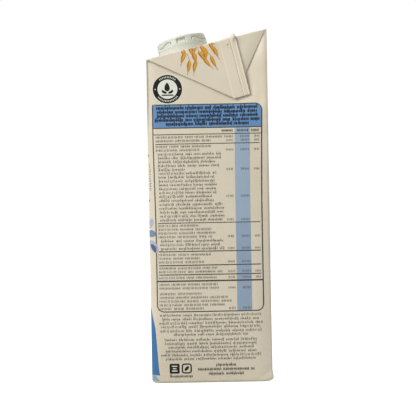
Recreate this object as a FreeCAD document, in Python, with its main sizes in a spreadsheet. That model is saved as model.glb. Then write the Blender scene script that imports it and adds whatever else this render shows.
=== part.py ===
"""Litre carton of oat milk: a folded paperboard brick with a slanted top and a screw closure.

Frame: +Z up, origin at the middle of the base, millimetres.  The front panel, under the
closure, faces -Y; the top panel climbs towards the rear, +Y; the side panels face +X and -X.
The pack is shut and full, so it is one solid: brick, top fin, side ears and base flaps are
one folded sheet.  The closure is three mouldings that stand on the slanted top panel.
"""

import FreeCAD, Part
import os

import Sketcher

document = FreeCAD.newDocument("OatMilkCarton")

# --- Driving dimensions ------------------------------------------------------------------------
# Each row: alias, value, what it measures.
SIZES = [
    ("width", "72.5", "pack across the front panel, side panel to side panel"),
    ("depth", "71.5", "pack across a side panel, front panel to rear panel"),
    ("front_height", "192", "floor to the front edge of the top panel"),
    ("rear_height", "209", "floor to the rear edge of the top panel"),
    ("corner_radius", "1.5", "rounding of the four upright corners"),
    ("ear_thickness", "1", "folded-down side ear, two plies of board"),
    ("fin_width", "9.2", "top fin, from its fold to its free edge"),
    ("fin_thickness", "0.9", "top fin pressed flat, two plies of board"),
    ("bead_width", "3.6", "free margin of the fin beyond its seal"),
    ("bead_rise", "0.8", "how far that margin springs up above the flat fin"),
    ("flap_thickness", "1", "base flap folded under the pack"),
    ("flap_margin", "1.5", "from an upright corner to the end of a base flap"),
    ("base_round", "0.8", "rounding where a side panel turns under the pack"),
    ("closure_setback", "23.2", "front edge of the top panel to the closure axis, up the slope"),
    ("neck_radius", "13", "spout neck inside the band and under the cap"),
    ("neck_height", "6.9", "top panel to the top of the neck, where the cap rests"),
    ("collar_step", "1.6", "how far the collar under the band stands out from the neck"),
    ("collar_height", "1.5", "collar above the flange"),
    ("flange_margin", "2.9", "how far the flange glued to the top panel reaches past the collar"),
    ("flange_thickness", "1", "spout flange"),
    ("flange_bevel", "0.5", "bevel on the rim of the flange"),
    ("band_clearance", "0.2", "neck to the inside of the tamper band"),
    ("band_wall", "2.5", "tamper band, inside to outside"),
    ("band_round", "0.3", "rounding of the outer edges of the band"),
    ("break_gap", "0.4", "gap between the band and the cap"),
    ("bridge_count", "12", "little bridges across that gap"),
    ("bridge_width", "1", "one bridge, along the rim"),
    ("bridge_depth", "0.8", "one bridge, outside to inside"),
    ("cap_inset", "0.35", "outside of the band to the upper wall of the cap"),
    ("cap_height", "5.8", "cap, from the top of the neck to its rim"),
    ("skirt_rise", "0.35", "how far the lower wall of the cap stands proud of the upper wall"),
    ("skirt_height", "2.2", "that lower wall"),
    ("rim_round", "1.1", "rounding of the top rim of the cap"),
    ("rim_width", "2.5", "outside of the rim to the shallow dish in the top"),
    ("dish_depth", "0.5", "that dish"),
    ("recess_count", "3", "grip recesses round the cap wall"),
    ("recess_width", "4.8", "one recess, across"),
    ("recess_height", "2.6", "one recess, up the wall"),
    ("recess_depth", "0.6", "one recess, into the wall"),
    ("recess_margin", "0.8", "head of a recess to the rim"),
]

sheet = document.addObject("Spreadsheet::Sheet", "Sizes")
for row, (alias, value, meaning) in enumerate(SIZES, start=1):
    sheet.set(f"A{row}", value)
    sheet.setAlias(f"A{row}", alias)
    sheet.set(f"B{row}", meaning)
document.recompute()

# --- Places worked out from the driving dimensions -----------------------------------------------
# The top panel climbs from the front edge to the rear edge.  Seen from the side, the sheet is as
# long from the floor up the front panel to the fin as it is up the rear panel to the fin, which
# places the fold of the fin; an ear is half as tall as the side panel is deep.
HALF_WIDTH = "Sizes.width / 2"
HALF_DEPTH = "Sizes.depth / 2"
CLIMB = "(Sizes.rear_height - Sizes.front_height)"
SLOPE = f"atan({CLIMB} / Sizes.depth)"
SLOPE_LENGTH = f"sqrt({CLIMB}^2 + Sizes.depth^2)"
FIN_SETBACK = f"(({SLOPE_LENGTH} + {CLIMB}) / 2)"
EAR_HEIGHT = "(Sizes.depth / 2)"
BAND_FOOT = "(Sizes.flange_thickness + Sizes.collar_height)"
BAND_TOP = "(Sizes.neck_height - Sizes.break_gap)"
BAND_INSIDE = "(Sizes.neck_radius + Sizes.band_clearance)"
BAND_OUTSIDE = f"({BAND_INSIDE} + Sizes.band_wall)"
CAP_RADIUS = f"({BAND_OUTSIDE} - Sizes.cap_inset)"


def on_slope(along, outward="0"):
    """Side-view place: so far up the slope from the front edge, and so far out of the panel."""
    across = f"-{HALF_DEPTH} + ({along}) * cos({SLOPE}) - ({outward}) * sin({SLOPE})"
    upward = f"Sizes.front_height + ({along}) * sin({SLOPE}) + ({outward}) * cos({SLOPE})"
    return across, upward


# --- Helpers -------------------------------------------------------------------------------------
def number(expression):
    """Value of an expression as a plain number of millimetres or degrees."""
    value = sheet.evalExpression(expression)
    return float(getattr(value, "Value", value))


def new_body(label):
    """Empty body whose label is the name of the piece."""
    body = document.addObject("PartDesign::Body", label)
    body.Label = label
    return body


def origin_plane(body, role):
    """One of the body's own origin planes, found by its role."""
    return next(part for part in body.Origin.OriginFeatures if part.Role == role)


def polygon_sketch(body, name, role, corners, offset="0"):
    """Closed outline of straight lines on an origin plane; each corner is a pair of expressions."""
    sketch = body.newObject("Sketcher::SketchObject", name)
    sketch.AttachmentSupport = (origin_plane(body, role), [""])
    sketch.MapMode = "FlatFace"
    sketch.setExpression("AttachmentOffset.Base.z", offset)
    places = [FreeCAD.Vector(number(across), number(upward), 0) for across, upward in corners]
    count = len(places)
    for index in range(count):
        sketch.addGeometry(Part.LineSegment(places[index], places[(index + 1) % count]), False)
    for index in range(count):
        sketch.addConstraint(Sketcher.Constraint("Coincident", index, 2, (index + 1) % count, 1))
    for index, pair in enumerate(corners):
        for kind, expression in zip(("DistanceX", "DistanceY"), pair):
            size = Sketcher.Constraint(kind, -1, 1, index, 1, number(expression))
            place = sketch.addConstraint(size)
            sketch.setExpression(f"Constraints[{place}]", expression)
    return sketch


def pad(body, name, sketch, length, symmetric=False, reverse=False):
    """Sketch carried along its normal; a symmetric pad is centred on the sketch plane."""
    feature = body.newObject("PartDesign::Pad", name)
    feature.Profile = sketch
    feature.setExpression("Length", length)
    feature.Midplane = symmetric
    feature.Reversed = reverse
    document.recompute()
    return feature


def turned(body, name, sketch):
    """Sketch turned once round its own upright axis."""
    feature = body.newObject("PartDesign::Revolution", name)
    feature.Profile = sketch
    feature.ReferenceAxis = (sketch, ["V_Axis"])
    feature.Angle = 360
    document.recompute()
    return feature


def rounded(body, name, base, radius, chosen):
    """Fillet on the edges of the base feature that the test picks out."""
    edges = [f"Edge{index}" for index, edge in enumerate(base.Shape.Edges, start=1) if chosen(edge)]
    feature = body.newObject("PartDesign::Fillet", name)
    feature.Base = (base, edges)
    feature.setExpression("Radius", radius)
    document.recompute()
    return feature


def mirrored(body, name, original, role):
    """Copy of a feature on the other side of an origin plane."""
    feature = body.newObject("PartDesign::Mirrored", name)
    feature.Originals = [original]
    feature.MirrorPlane = (origin_plane(body, role), [""])
    body.Tip = feature
    document.recompute()
    return feature


def ring_of(body, name, original, count):
    """Feature repeated evenly round the body's Z axis."""
    axis = next(part for part in body.Origin.OriginFeatures if part.Role == "Z_Axis")
    feature = body.newObject("PartDesign::PolarPattern", name)
    feature.Originals = [original]
    feature.Axis = (axis, [""])
    feature.Angle = 360
    feature.setExpression("Occurrences", count)
    body.Tip = feature
    document.recompute()
    return feature


def is_upright(edge):
    """True for a straight edge along Z."""
    start, end = edge.Vertexes[0].Point, edge.Vertexes[-1].Point
    return abs(end.z - start.z) > 0.999 * edge.Length and edge.Length > number("Sizes.corner_radius")


def is_rim_at(height):
    """Test for a round edge that lies at one height."""
    level = number(height)

    def chosen(edge):
        box = edge.BoundBox
        return isinstance(edge.Curve, Part.Circle) and abs(box.ZMin - level) + abs(box.ZMax - level) < 1e-6
    return chosen


def is_outer_rim(radius):
    """Test for a round edge of one radius."""
    size = number(radius)

    def chosen(edge):
        return isinstance(edge.Curve, Part.Circle) and abs(edge.Curve.Radius - size) < 1e-6
    return chosen


def stand_on_top_panel(body):
    """Put a closure piece, modelled on its own axis, upright on the slanted top panel."""
    foot = on_slope("Sizes.closure_setback")
    body.Placement = FreeCAD.Placement(FreeCAD.Vector(), FreeCAD.Rotation(FreeCAD.Vector(1, 0, 0), 1))
    body.setExpression("Placement.Base.y", foot[0])
    body.setExpression("Placement.Base.z", foot[1])
    body.setExpression("Placement.Rotation.Angle", SLOPE)


# --- Carton ----------------------------------------------------------------------------------------
def make_carton():
    """Brick with its top fin, two ears folded down the sides and two flaps folded under it."""
    body = new_body("carton")

    # Brick: the side view, carried across the width, its four upright corners rounded.
    side_view = polygon_sketch(body, "BrickSideView", "YZ_Plane", [
        (f"-{HALF_DEPTH}", "Sizes.flap_thickness"),
        (HALF_DEPTH, "Sizes.flap_thickness"),
        (HALF_DEPTH, "Sizes.rear_height"),
        (f"-{HALF_DEPTH}", "Sizes.front_height"),
    ])
    brick = pad(body, "Brick", side_view, "Sizes.width", symmetric=True)
    rounded(body, "RoundedCorners", brick, "Sizes.corner_radius", is_upright)

    # Ear: a triangle that hangs from the side edge of the top panel.  Its tip is straight below
    # the fold of the fin, square to the slope.  One pad through the pack makes both ears.
    ear_tip = on_slope(FIN_SETBACK, f"-{EAR_HEIGHT}")
    ear_outline = polygon_sketch(body, "EarOutline", "YZ_Plane", [
        on_slope("0"), ear_tip, on_slope(SLOPE_LENGTH),
    ])
    pad(body, "Ears", ear_outline, "Sizes.width + 2 * Sizes.ear_thickness", symmetric=True)

    # Fin across the top panel, folded to the rear: flat, then a free margin that springs up.
    fin_end = f"({FIN_SETBACK} + Sizes.fin_width)"
    bead_start = f"({fin_end} - Sizes.bead_width)"
    bead_crest = f"({fin_end} - Sizes.bead_width / 3)"
    bead_height = "(Sizes.fin_thickness + Sizes.bead_rise)"
    fin_profile = polygon_sketch(body, "FinProfile", "YZ_Plane", [
        on_slope(FIN_SETBACK, "-Sizes.fin_thickness"),
        on_slope(fin_end, "-Sizes.fin_thickness"),
        on_slope(fin_end, "Sizes.fin_thickness"),
        on_slope(bead_crest, bead_height),
        on_slope(bead_start, "Sizes.fin_thickness"),
        on_slope(FIN_SETBACK, "Sizes.fin_thickness"),
    ])
    reach = "2 * (Sizes.ear_thickness + Sizes.fin_thickness)"
    pad(body, "FinOnTop", fin_profile, f"Sizes.width + {reach}", symmetric=True)

    # The fin runs on down each ear, on its outside, and ends square at the ear's tip.  Its free
    # edge overhangs the side panel beyond the ear.
    fin_strip = polygon_sketch(body, "FinStrip", "YZ_Plane", [
        on_slope(FIN_SETBACK, "Sizes.fin_thickness"),
        on_slope(FIN_SETBACK, f"-{EAR_HEIGHT}"),
        on_slope(fin_end, f"-{EAR_HEIGHT}"),
        on_slope(fin_end, "Sizes.fin_thickness"),
    ], offset=f"{HALF_WIDTH} + Sizes.ear_thickness")
    strip = pad(body, "FinOnEar", fin_strip, "Sizes.fin_thickness")
    mirrored(body, "FinOnOtherEar", strip, "YZ_Plane")

    # Base flaps: the lower ears, folded in under the pack from both sides, tips at the middle.
    flap_outline = polygon_sketch(body, "FlapOutline", "XY_Plane", [
        (HALF_WIDTH, f"-({HALF_DEPTH} - Sizes.flap_margin)"),
        (HALF_WIDTH, f"{HALF_DEPTH} - Sizes.flap_margin"),
        (f"{HALF_WIDTH} - {HALF_DEPTH} + Sizes.flap_margin", "0"),
    ])
    flap = pad(body, "BaseFlap", flap_outline, "Sizes.flap_thickness")
    flaps = mirrored(body, "OtherBaseFlap", flap, "YZ_Plane")

    # The side panels turn under the pack in a small round.
    half_width = number(HALF_WIDTH)

    def is_turn_under(edge):
        box = edge.BoundBox
        return box.ZMax < 1e-6 and abs(abs(box.XMin) - half_width) < 1e-6 and box.XLength < 1e-6
    rounded(body, "TurnUnder", flaps, "Sizes.base_round", is_turn_under)
    return body


# --- Closure ---------------------------------------------------------------------------------------
def make_spout():
    """Spout: flange on the top panel, collar under the tamper band, neck up to the cap."""
    body = new_body("spout")
    collar = "(Sizes.neck_radius + Sizes.collar_step)"
    flange = f"({collar} + Sizes.flange_margin)"
    profile = polygon_sketch(body, "SpoutProfile", "XZ_Plane", [
        ("0", "0"),
        (flange, "0"),
        (flange, "Sizes.flange_thickness - Sizes.flange_bevel"),
        (f"{flange} - Sizes.flange_bevel", "Sizes.flange_thickness"),
        (collar, "Sizes.flange_thickness"),
        (collar, BAND_FOOT),
        ("Sizes.neck_radius", BAND_FOOT),
        ("Sizes.neck_radius", "Sizes.neck_height"),
        ("0", "Sizes.neck_height"),
    ])
    turned(body, "Spout", profile)
    stand_on_top_panel(body)
    return body


def make_tamper_band():
    """Tamper band: a ring on the collar, with little bridges up to the cap."""
    body = new_body("tamper_band")
    profile = polygon_sketch(body, "BandProfile", "XZ_Plane", [
        (BAND_INSIDE, BAND_FOOT),
        (BAND_OUTSIDE, BAND_FOOT),
        (BAND_OUTSIDE, BAND_TOP),
        (BAND_INSIDE, BAND_TOP),
    ])
    ring = turned(body, "Band", profile)
    rounded(body, "BandEdges", ring, "Sizes.band_round", is_outer_rim(BAND_OUTSIDE))

    # A bridge is a small block, set in from the rounded edge, as tall as the gap.
    outer = f"{BAND_OUTSIDE} - 2 * Sizes.band_round"
    bridge_outline = polygon_sketch(body, "BridgeOutline", "XY_Plane", [
        (f"{outer} - Sizes.bridge_depth", "-Sizes.bridge_width / 2"),
        (outer, "-Sizes.bridge_width / 2"),
        (outer, "Sizes.bridge_width / 2"),
        (f"{outer} - Sizes.bridge_depth", "Sizes.bridge_width / 2"),
    ], offset=BAND_TOP)
    bridge = pad(body, "Bridge", bridge_outline, "Sizes.break_gap")
    ring_of(body, "Bridges", bridge, "Sizes.bridge_count")
    stand_on_top_panel(body)
    return body


def make_cap():
    """Screw cap: a wall with a proud skirt, a rounded rim, a dished top and grip recesses."""
    body = new_body("cap")
    foot = "Sizes.neck_height"
    rim = "(Sizes.neck_height + Sizes.cap_height)"
    dish = f"({CAP_RADIUS} - Sizes.rim_width)"
    profile = polygon_sketch(body, "CapProfile", "XZ_Plane", [
        ("0", foot),
        (f"{CAP_RADIUS} + Sizes.skirt_rise", foot),
        (f"{CAP_RADIUS} + Sizes.skirt_rise", f"{foot} + Sizes.skirt_height"),
        (CAP_RADIUS, f"{foot} + Sizes.skirt_height + Sizes.skirt_rise"),
        (CAP_RADIUS, rim),
        (dish, rim),
        (f"{dish} - Sizes.dish_depth", f"{rim} - Sizes.dish_depth"),
        ("0", f"{rim} - Sizes.dish_depth"),
    ])
    wall = turned(body, "CapWall", profile)
    top_rim = is_rim_at(rim)
    outer_rim = is_outer_rim(CAP_RADIUS)
    rounded(body, "CapRim", wall, "Sizes.rim_round", lambda edge: top_rim(edge) and outer_rim(edge))

    # Grip recess: a flat-bottomed window cut into the wall, repeated round the cap.
    floor = f"({CAP_RADIUS} - Sizes.recess_depth)"
    head = f"({rim} - Sizes.recess_margin)"
    sill = f"({head} - Sizes.recess_height)"
    window = polygon_sketch(body, "RecessWindow", "YZ_Plane", [
        ("-Sizes.recess_width / 2", sill),
        ("Sizes.recess_width / 2", sill),
        ("Sizes.recess_width / 2", head),
        ("-Sizes.recess_width / 2", head),
    ], offset=floor)
    before = body.Shape.Volume
    recess = body.newObject("PartDesign::Pocket", "Recess")
    recess.Profile = window
    recess.Reversed = True
    recess.setExpression("Length", "2 * Sizes.recess_depth + Sizes.skirt_rise")
    document.recompute()
    if not body.Shape.Volume < before:
        raise RuntimeError("the grip recess cuts nothing")
    ring_of(body, "Recesses", recess, "Sizes.recess_count")
    stand_on_top_panel(body)
    return body


pieces = [make_carton(), make_spout(), make_tamper_band(), make_cap()]
document.recompute()

# --- Checks and export -------------------------------------------------------------------------------
for item in document.Objects:
    if "Invalid" in item.State or "Error" in item.State:
        raise RuntimeError(f"{item.Name} failed: {item.State}")
for piece in pieces:
    shape = piece.Shape
    if shape.isNull() or not shape.isValid() or len(shape.Solids) != 1:
        raise RuntimeError(f"{piece.Label} is not one valid solid")

os.makedirs("parts", exist_ok=True)
for piece in pieces:
    piece.Shape.exportStep(f"parts/{piece.Label}.step")
    box = piece.Shape.BoundBox
    print(f"{piece.Label}: {piece.Shape.Volume / 1000:.2f} cm3, "
          f"{box.XLength:.1f} x {box.YLength:.1f} x {box.ZLength:.1f} mm, top at {box.ZMax:.1f}")
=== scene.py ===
"""Looks of a litre carton of oat milk: folded board, screw closure, printed panels and studio.

Lengths are millimetres in the classes below and turn to metres when a mesh is made.
Frame: +Z up, origin at the middle of the base, front panel -Y, side panels +X and -X.
"""

import logging
import math
from collections.abc import Callable, Sequence
from dataclasses import dataclass, field
from enum import Enum
from functools import partial

import bpy
import numpy as np
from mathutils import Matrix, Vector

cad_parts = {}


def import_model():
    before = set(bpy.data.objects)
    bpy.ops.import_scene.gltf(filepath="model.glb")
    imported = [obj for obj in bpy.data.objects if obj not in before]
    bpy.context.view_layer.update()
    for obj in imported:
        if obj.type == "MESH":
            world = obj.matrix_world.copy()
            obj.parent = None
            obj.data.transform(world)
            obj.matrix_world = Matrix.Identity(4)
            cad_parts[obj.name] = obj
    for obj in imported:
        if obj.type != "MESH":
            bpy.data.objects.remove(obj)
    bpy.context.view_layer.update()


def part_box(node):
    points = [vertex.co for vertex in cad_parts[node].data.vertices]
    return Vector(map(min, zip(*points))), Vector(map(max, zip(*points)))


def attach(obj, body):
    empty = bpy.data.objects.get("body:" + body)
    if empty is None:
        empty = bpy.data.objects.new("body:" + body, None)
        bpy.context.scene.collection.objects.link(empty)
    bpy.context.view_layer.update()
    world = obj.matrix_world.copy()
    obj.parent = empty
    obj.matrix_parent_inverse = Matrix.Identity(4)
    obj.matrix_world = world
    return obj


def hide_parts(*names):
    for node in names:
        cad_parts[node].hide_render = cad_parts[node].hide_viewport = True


MM = 0.001
# How high each kind of ink lies over the board, so that lines lie over fields and marks over lines.
FIELD_LIFT = 0.03
LINE_LIFT = 0.05
BLADE_LIFT = 0.06
STROKE_LIFT = 0.07
LOG = logging.getLogger("oat_milk_carton")
Array = np.ndarray
# Two numbers: across and up, or a start and an end.
Pair = tuple[float, float]
# A place in the scene, in metres.
Place = tuple[float, float, float]
# Turns across, up and a lift into points.
Surface = Callable[[Array, Array, float], Array]


# --- Small mathematics -------------------------------------------------------------------------


def smooth(value: Array | float, low: float, high: float) -> Array:
    """Soft step: 3 t^2 - 2 t^3, where t runs from 0 at low to 1 at high and is held there."""
    t = np.clip((np.asarray(value, float) - low) / (high - low), 0.0, 1.0)
    return t * t * (3.0 - 2.0 * t)


def bell(value: Array | float, centre: float, width: float) -> Array:
    """Bell curve: e to the power of minus the square of (value - centre) / width."""
    return np.exp(-(((np.asarray(value, float) - centre) / width) ** 2))


def inset_of_round(distance: Array, radius: float) -> Array:
    """How far a quarter-round edge stands back at a distance from it: r - sqrt(r^2 - (r - d)^2)."""
    gap = np.clip(radius - distance, 0.0, radius)
    return radius - np.sqrt(radius**2 - gap**2)


def hump(value: Array | float, start: float, full: float, fall: float, end: float) -> Array:
    """Soft step up from 0 at start to 1 at full, and down again from fall to 0 at end."""
    return smooth(value, start, full) * (1 - smooth(value, fall, end))


def stations(*runs: tuple[float, float, int]) -> Array:
    """Stations of several even runs, sorted, each run given as its start, end and count."""
    return np.unique(np.concatenate([np.linspace(*run) for run in runs]))


def circle(count: int) -> Array:
    """Angles of a full turn, in one row."""
    return np.linspace(0, 2 * math.pi, count, endpoint=False)[None, :]


def quarter(count: int) -> Array:
    """Angles of a quarter turn, with both its ends."""
    return np.linspace(0, math.pi / 2, count)


def linear(colour: str) -> tuple[float, float, float, float]:
    """Turns an sRGB hex colour into linear light.

    Args:
        colour: six hex digits after a hash.

    Returns:
        Red, green, blue and an alpha of 1, linear.
    """
    srgb = np.array([int(colour[i : i + 2], 16) for i in (1, 3, 5)]) / 255.0
    light = np.where(srgb <= 0.04045, srgb / 12.92, ((srgb + 0.055) / 1.055) ** 2.4)
    return (float(light[0]), float(light[1]), float(light[2]), 1.0)


# --- Skins -------------------------------------------------------------------------------------


@dataclass
class Skin:
    """One closed skin: points in millimetres, and faces of four corners."""

    points: Array
    faces: Array

    def facing_out(self) -> "Skin":
        """Turns the faces round if six times the volume inside them is negative.

        Returns:
            The skin with its faces outwards.
        """
        a, b, c, d = (self.points[self.faces[:, k]] for k in range(4))
        volume = np.einsum("ij,ij->", a, np.cross(b, c) + np.cross(c, d))
        return self if volume >= 0 else Skin(self.points, self.faces[:, ::-1])


def grid_faces(rows: int, columns: int, joined: bool = False) -> Array:
    """Faces of a grid of points whose columns go round and meet.

    Args:
        rows: rows of points.
        columns: points in each row.
        joined: whether the last row also meets the first.

    Returns:
        One row of four indices per face.
    """
    i, j = np.meshgrid(np.arange(rows if joined else rows - 1), np.arange(columns), indexing="ij")
    up, along = (i + 1) % rows, (j + 1) % columns
    corners = [i * columns + j, i * columns + along, up * columns + along, up * columns + j]
    return np.stack(corners, -1).reshape(-1, 4)


def tube(rings: Array) -> Skin:
    """Closed skin through a row of rings; each end ring is zipped shut across its two halves.

    Args:
        rings: rings by points by three, with an even number of points in each ring.

    Returns:
        The skin, faces outwards.
    """
    rows, columns = rings.shape[:2]
    j = np.arange(columns // 2 - 1)
    zipped = np.stack([j, columns - 1 - j, columns - 2 - j, j + 1], -1)
    faces = np.concatenate([grid_faces(rows, columns), zipped, zipped[:, ::-1] + (rows - 1) * columns])
    return Skin(rings.reshape(-1, 3), faces).facing_out()


def hoop(rings: Array) -> Skin:
    """Closed skin through rings that meet again after the last one."""
    return Skin(rings.reshape(-1, 3), grid_faces(rings.shape[0], rings.shape[1], joined=True)).facing_out()


def slab(top: Array, bottom: Array, shut: Callable[[Array], Skin] = tube) -> Skin:
    """Closed plate between two grids of points, rows by columns by three, shut as a tube or a hoop."""
    return shut(np.concatenate([top, bottom[:, ::-1]], axis=1))


def washer(top: Array, bottom: Array) -> Skin:
    """Closed plate between two stacks of circles, both from the inside out."""
    return hoop(np.concatenate([top, bottom[::-1]]))


def studs(top: Array, bottom: Array) -> Skin:
    """Many four-cornered prisms at once.

    Args:
        top: prisms by four corners by three, anticlockwise seen from outside.
        bottom: the same corners below.

    Returns:
        All the prisms as one skin.
    """
    points = np.concatenate([top, bottom], axis=1)
    prism = np.array([[0, 1, 2, 3], [7, 6, 5, 4], [0, 4, 5, 1], [1, 5, 6, 2], [2, 6, 7, 3], [3, 7, 4, 0]])
    faces = (prism[None] + 8 * np.arange(len(points))[:, None, None]).reshape(-1, 4)
    return Skin(points.reshape(-1, 3), faces).facing_out()


def piece(name: str, skins: Sequence[Skin], finish: "Finish",
          stands_for: Sequence[str] = (), crease: float = 38.0) -> None:
    """Makes one Blender object from skins and lets it ride on the pack.

    Args:
        name: name of the object.
        skins: closed skins in millimetres.
        finish: what it is dressed in.
        stands_for: CAD nodes that it replaces.
        crease: edges sharper than this angle, in degrees, stay crisp.
    """
    starts = np.cumsum([0] + [len(s.points) for s in skins[:-1]])
    points = np.concatenate([s.points for s in skins]) * MM
    faces = np.concatenate([s.faces + start for s, start in zip(skins, starts)])
    mesh = bpy.data.meshes.new(name)
    mesh.from_pydata(points.tolist(), [], faces.tolist())
    mesh.validate()
    mesh.shade_smooth()
    mesh.set_sharp_from_angle(angle=math.radians(crease))
    mesh.materials.append(finish.material())
    made = bpy.data.objects.new(name, mesh)
    bpy.context.scene.collection.objects.link(made)
    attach(made, "root")
    if stands_for:
        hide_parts(*stands_for)
    LOG.info("%s: %d skins, %d faces, %s", name, len(skins), len(faces), finish.name)


# --- Finishes ----------------------------------------------------------------------------------


def add_node(tree: bpy.types.NodeTree, kind: str, inputs: dict | None = None,
             **settings: object) -> bpy.types.Node:
    """Adds a node with its settings and links.

    Args:
        tree: node tree to add to.
        kind: Blender's name of the node.
        inputs: socket name or number to a value, or to the output socket that feeds it.
        settings: properties of the node itself.

    Returns:
        The node.
    """
    node = tree.nodes.new(kind)
    for key, value in settings.items():
        setattr(node, key, value)
    for key, value in (inputs or {}).items():
        if isinstance(value, bpy.types.NodeSocket):
            tree.links.new(value, node.inputs[key])
        else:
            node.inputs[key].default_value = value
    return node


def empty_tree(owner: bpy.types.Material | bpy.types.World) -> bpy.types.NodeTree:
    """Gives a new material or world a tree with no nodes in it.

    Args:
        owner: the material or world.

    Returns:
        Its tree.
    """
    owner.use_nodes = True
    owner.node_tree.nodes.clear()
    return owner.node_tree


@dataclass(frozen=True)
class Finish:
    """A surface: two tones in soft clouds, a fine grain, and a gloss that varies.

    Each size is the real spacing of a feature in millimetres.
    """

    name: str
    colour: str
    second: str
    cloud_size: float = 30.0
    grain_size: float = 0.9
    grain_height: float = 0.01
    grain_share: float = 0.25
    roughness: float = 0.45
    roughness_spread: float = 0.08
    specular: float = 0.5

    def material(self) -> bpy.types.Material:
        """Makes the material of this finish, or finds it if it was made before.

        Returns:
            The material.
        """
        found = bpy.data.materials.get(self.name)
        if found:
            return found
        made = bpy.data.materials.new(self.name)
        tree = empty_tree(made)
        place = add_node(tree, "ShaderNodeTexCoord").outputs["Object"]
        cloud = add_node(tree, "ShaderNodeTexNoise", {
            "Vector": place, "Scale": 1.0 / (self.cloud_size * MM), "Detail": 3.0, "Roughness": 0.5})
        grain = add_node(tree, "ShaderNodeTexNoise", {
            "Vector": place, "Scale": 1.0 / (self.grain_size * MM), "Detail": 2.0, "Roughness": 0.6})
        # Clouds and grain are laid over each other before they choose between the two tones.
        blend = add_node(tree, "ShaderNodeMix", {
            0: self.grain_share, 2: cloud.outputs["Fac"], 3: grain.outputs["Fac"]}, data_type="FLOAT")
        share = add_node(tree, "ShaderNodeMapRange", {
            "Value": blend.outputs[0], "From Min": 0.32, "From Max": 0.68})
        tone = add_node(tree, "ShaderNodeMix", {
            0: share.outputs["Result"], 6: linear(self.colour), 7: linear(self.second)}, data_type="RGBA")
        gloss = add_node(tree, "ShaderNodeMapRange", {
            "Value": cloud.outputs["Fac"], "From Min": 0.3, "From Max": 0.7,
            "To Min": self.roughness - self.roughness_spread,
            "To Max": self.roughness + self.roughness_spread})
        relief = add_node(tree, "ShaderNodeBump", {
            "Height": grain.outputs["Fac"], "Distance": self.grain_height * MM, "Strength": 1.0})
        shader = add_node(tree, "ShaderNodeBsdfPrincipled", {
            "Base Color": tone.outputs[2], "Roughness": gloss.outputs["Result"],
            "Normal": relief.outputs["Normal"], "Specular IOR Level": self.specular, "IOR": 1.5})
        add_node(tree, "ShaderNodeOutputMaterial", {"Surface": shader.outputs["BSDF"]})
        return made


# Liquid packaging board, extrusion-coated with clear film over a cream print: the eye sees warm
# cream with faint clouds, a satin film and the soft orange peel of the fibres beneath.
BOARD = Finish("coated_board_cream_print", "#ddd3bd", "#d5cab3", cloud_size=26.0, grain_size=1.6,
               grain_height=0.012, roughness=0.42)
# The same board inside out, where a cut edge or the fold under the pack shows.
BOARD_UNDER = Finish("coated_board_under_fold", "#d6ccb7", "#cbc0a9", cloud_size=18.0, grain_size=1.2,
                     grain_height=0.02, roughness=0.5)
# Polyethylene, injection moulded against spark-eroded steel: greyish off-white, waxy and matt.
CAP_MOULDING = Finish("moulded_polyethylene_off_white", "#d1d3c8", "#c8cbbf", cloud_size=14.0,
                      grain_size=0.5, grain_height=0.006, roughness=0.5, specular=0.3)
# The same moulding in a darker greige: painted shade, laid on the window floors where the recesses lie in
# shadow.
CAP_PAINTED_SHADE = Finish("moulded_polyethylene_painted_shade", "#bdbcae", "#b3b2a4", cloud_size=6.0, grain_size=0.5,
                  grain_height=0.006, roughness=0.45, specular=0.3)
# The same polyethylene without pigment: whiter and a little glossier, seen in the slit under the cap.
SPOUT_MOULDING = Finish("moulded_polyethylene_natural", "#e2e2d8", "#d9dacf", cloud_size=12.0,
                        grain_size=0.5, grain_height=0.006, roughness=0.36, specular=0.45)


@dataclass(frozen=True)
class PrintedInk(Finish):
    """Offset ink on board, under the clear film: a flat tone with a slight mottle."""

    cloud_size: float = 12.0
    grain_size: float = 0.8
    grain_height: float = 0.008
    grain_share: float = 0.4
    roughness: float = 0.42


class Ink(Enum):
    """The inks of the print: warm blacks for lettering, greyed blues for fields, ochres for oats."""

    DARK = PrintedInk("offset_ink_dark", "#302d27", "#393630")
    SEAL = PrintedInk("offset_ink_seal_black", "#0d0d08", "#14130e", roughness=0.45, specular=0.2)
    HEADING = PrintedInk("offset_ink_heading_navy", "#17283c", "#1e3045", specular=0.3)
    HEADER = PrintedInk("offset_ink_header_blue", "#628cb9", "#5983af", 16.0)
    COLUMN = PrintedInk("offset_ink_column_blue", "#9cafc1", "#94a6b8", 20.0, 0.9)
    # The lower part of the column in a darker blue: painted shade, for the lower side lying in less light.
    COLUMN_PAINTED_SHADE = PrintedInk("offset_ink_column_blue_painted_shade", "#90a3b8", "#8a9daf", 20.0, 0.9)
    WAVE = PrintedInk("offset_ink_wave_blue", "#3270a1", "#32689a", 24.0, 0.9, grain_share=0.3)
    MIST = PrintedInk("offset_ink_mist_blue", "#8ea5b5", "#819aab", 20.0, 0.9, grain_share=0.3)
    LILAC = PrintedInk("offset_ink_lilac", "#b1b2bc", "#a7aab9", 9.0)
    SKY = PrintedInk("offset_ink_sky_blue", "#6d7d9c", "#7a8aa7", 8.0)
    NAVY = PrintedInk("offset_ink_navy", "#3e4c73", "#556488", 7.0)
    PALE = PrintedInk("offset_ink_pale_cream", "#e4e6d8", "#dcdecf", 9.0)
    GOLD = PrintedInk("offset_ink_oat_gold", "#d29a1c", "#c28814", 3.0, 0.6, grain_share=0.5)
    AMBER = PrintedInk("offset_ink_oat_amber", "#aa6414", "#985610", 3.0, 0.6, grain_share=0.5)
    STRAW = PrintedInk("offset_ink_oat_straw", "#ddae36", "#d49f26", 3.0, 0.6, grain_share=0.5)
    RED = PrintedInk("offset_ink_dark_red", "#7d4038", "#8a4a40", 6.0)
    GREEN = PrintedInk("offset_ink_leaf_green", "#77875c", "#68794f", 6.0)


# --- The folded pack ---------------------------------------------------------------------------


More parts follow.
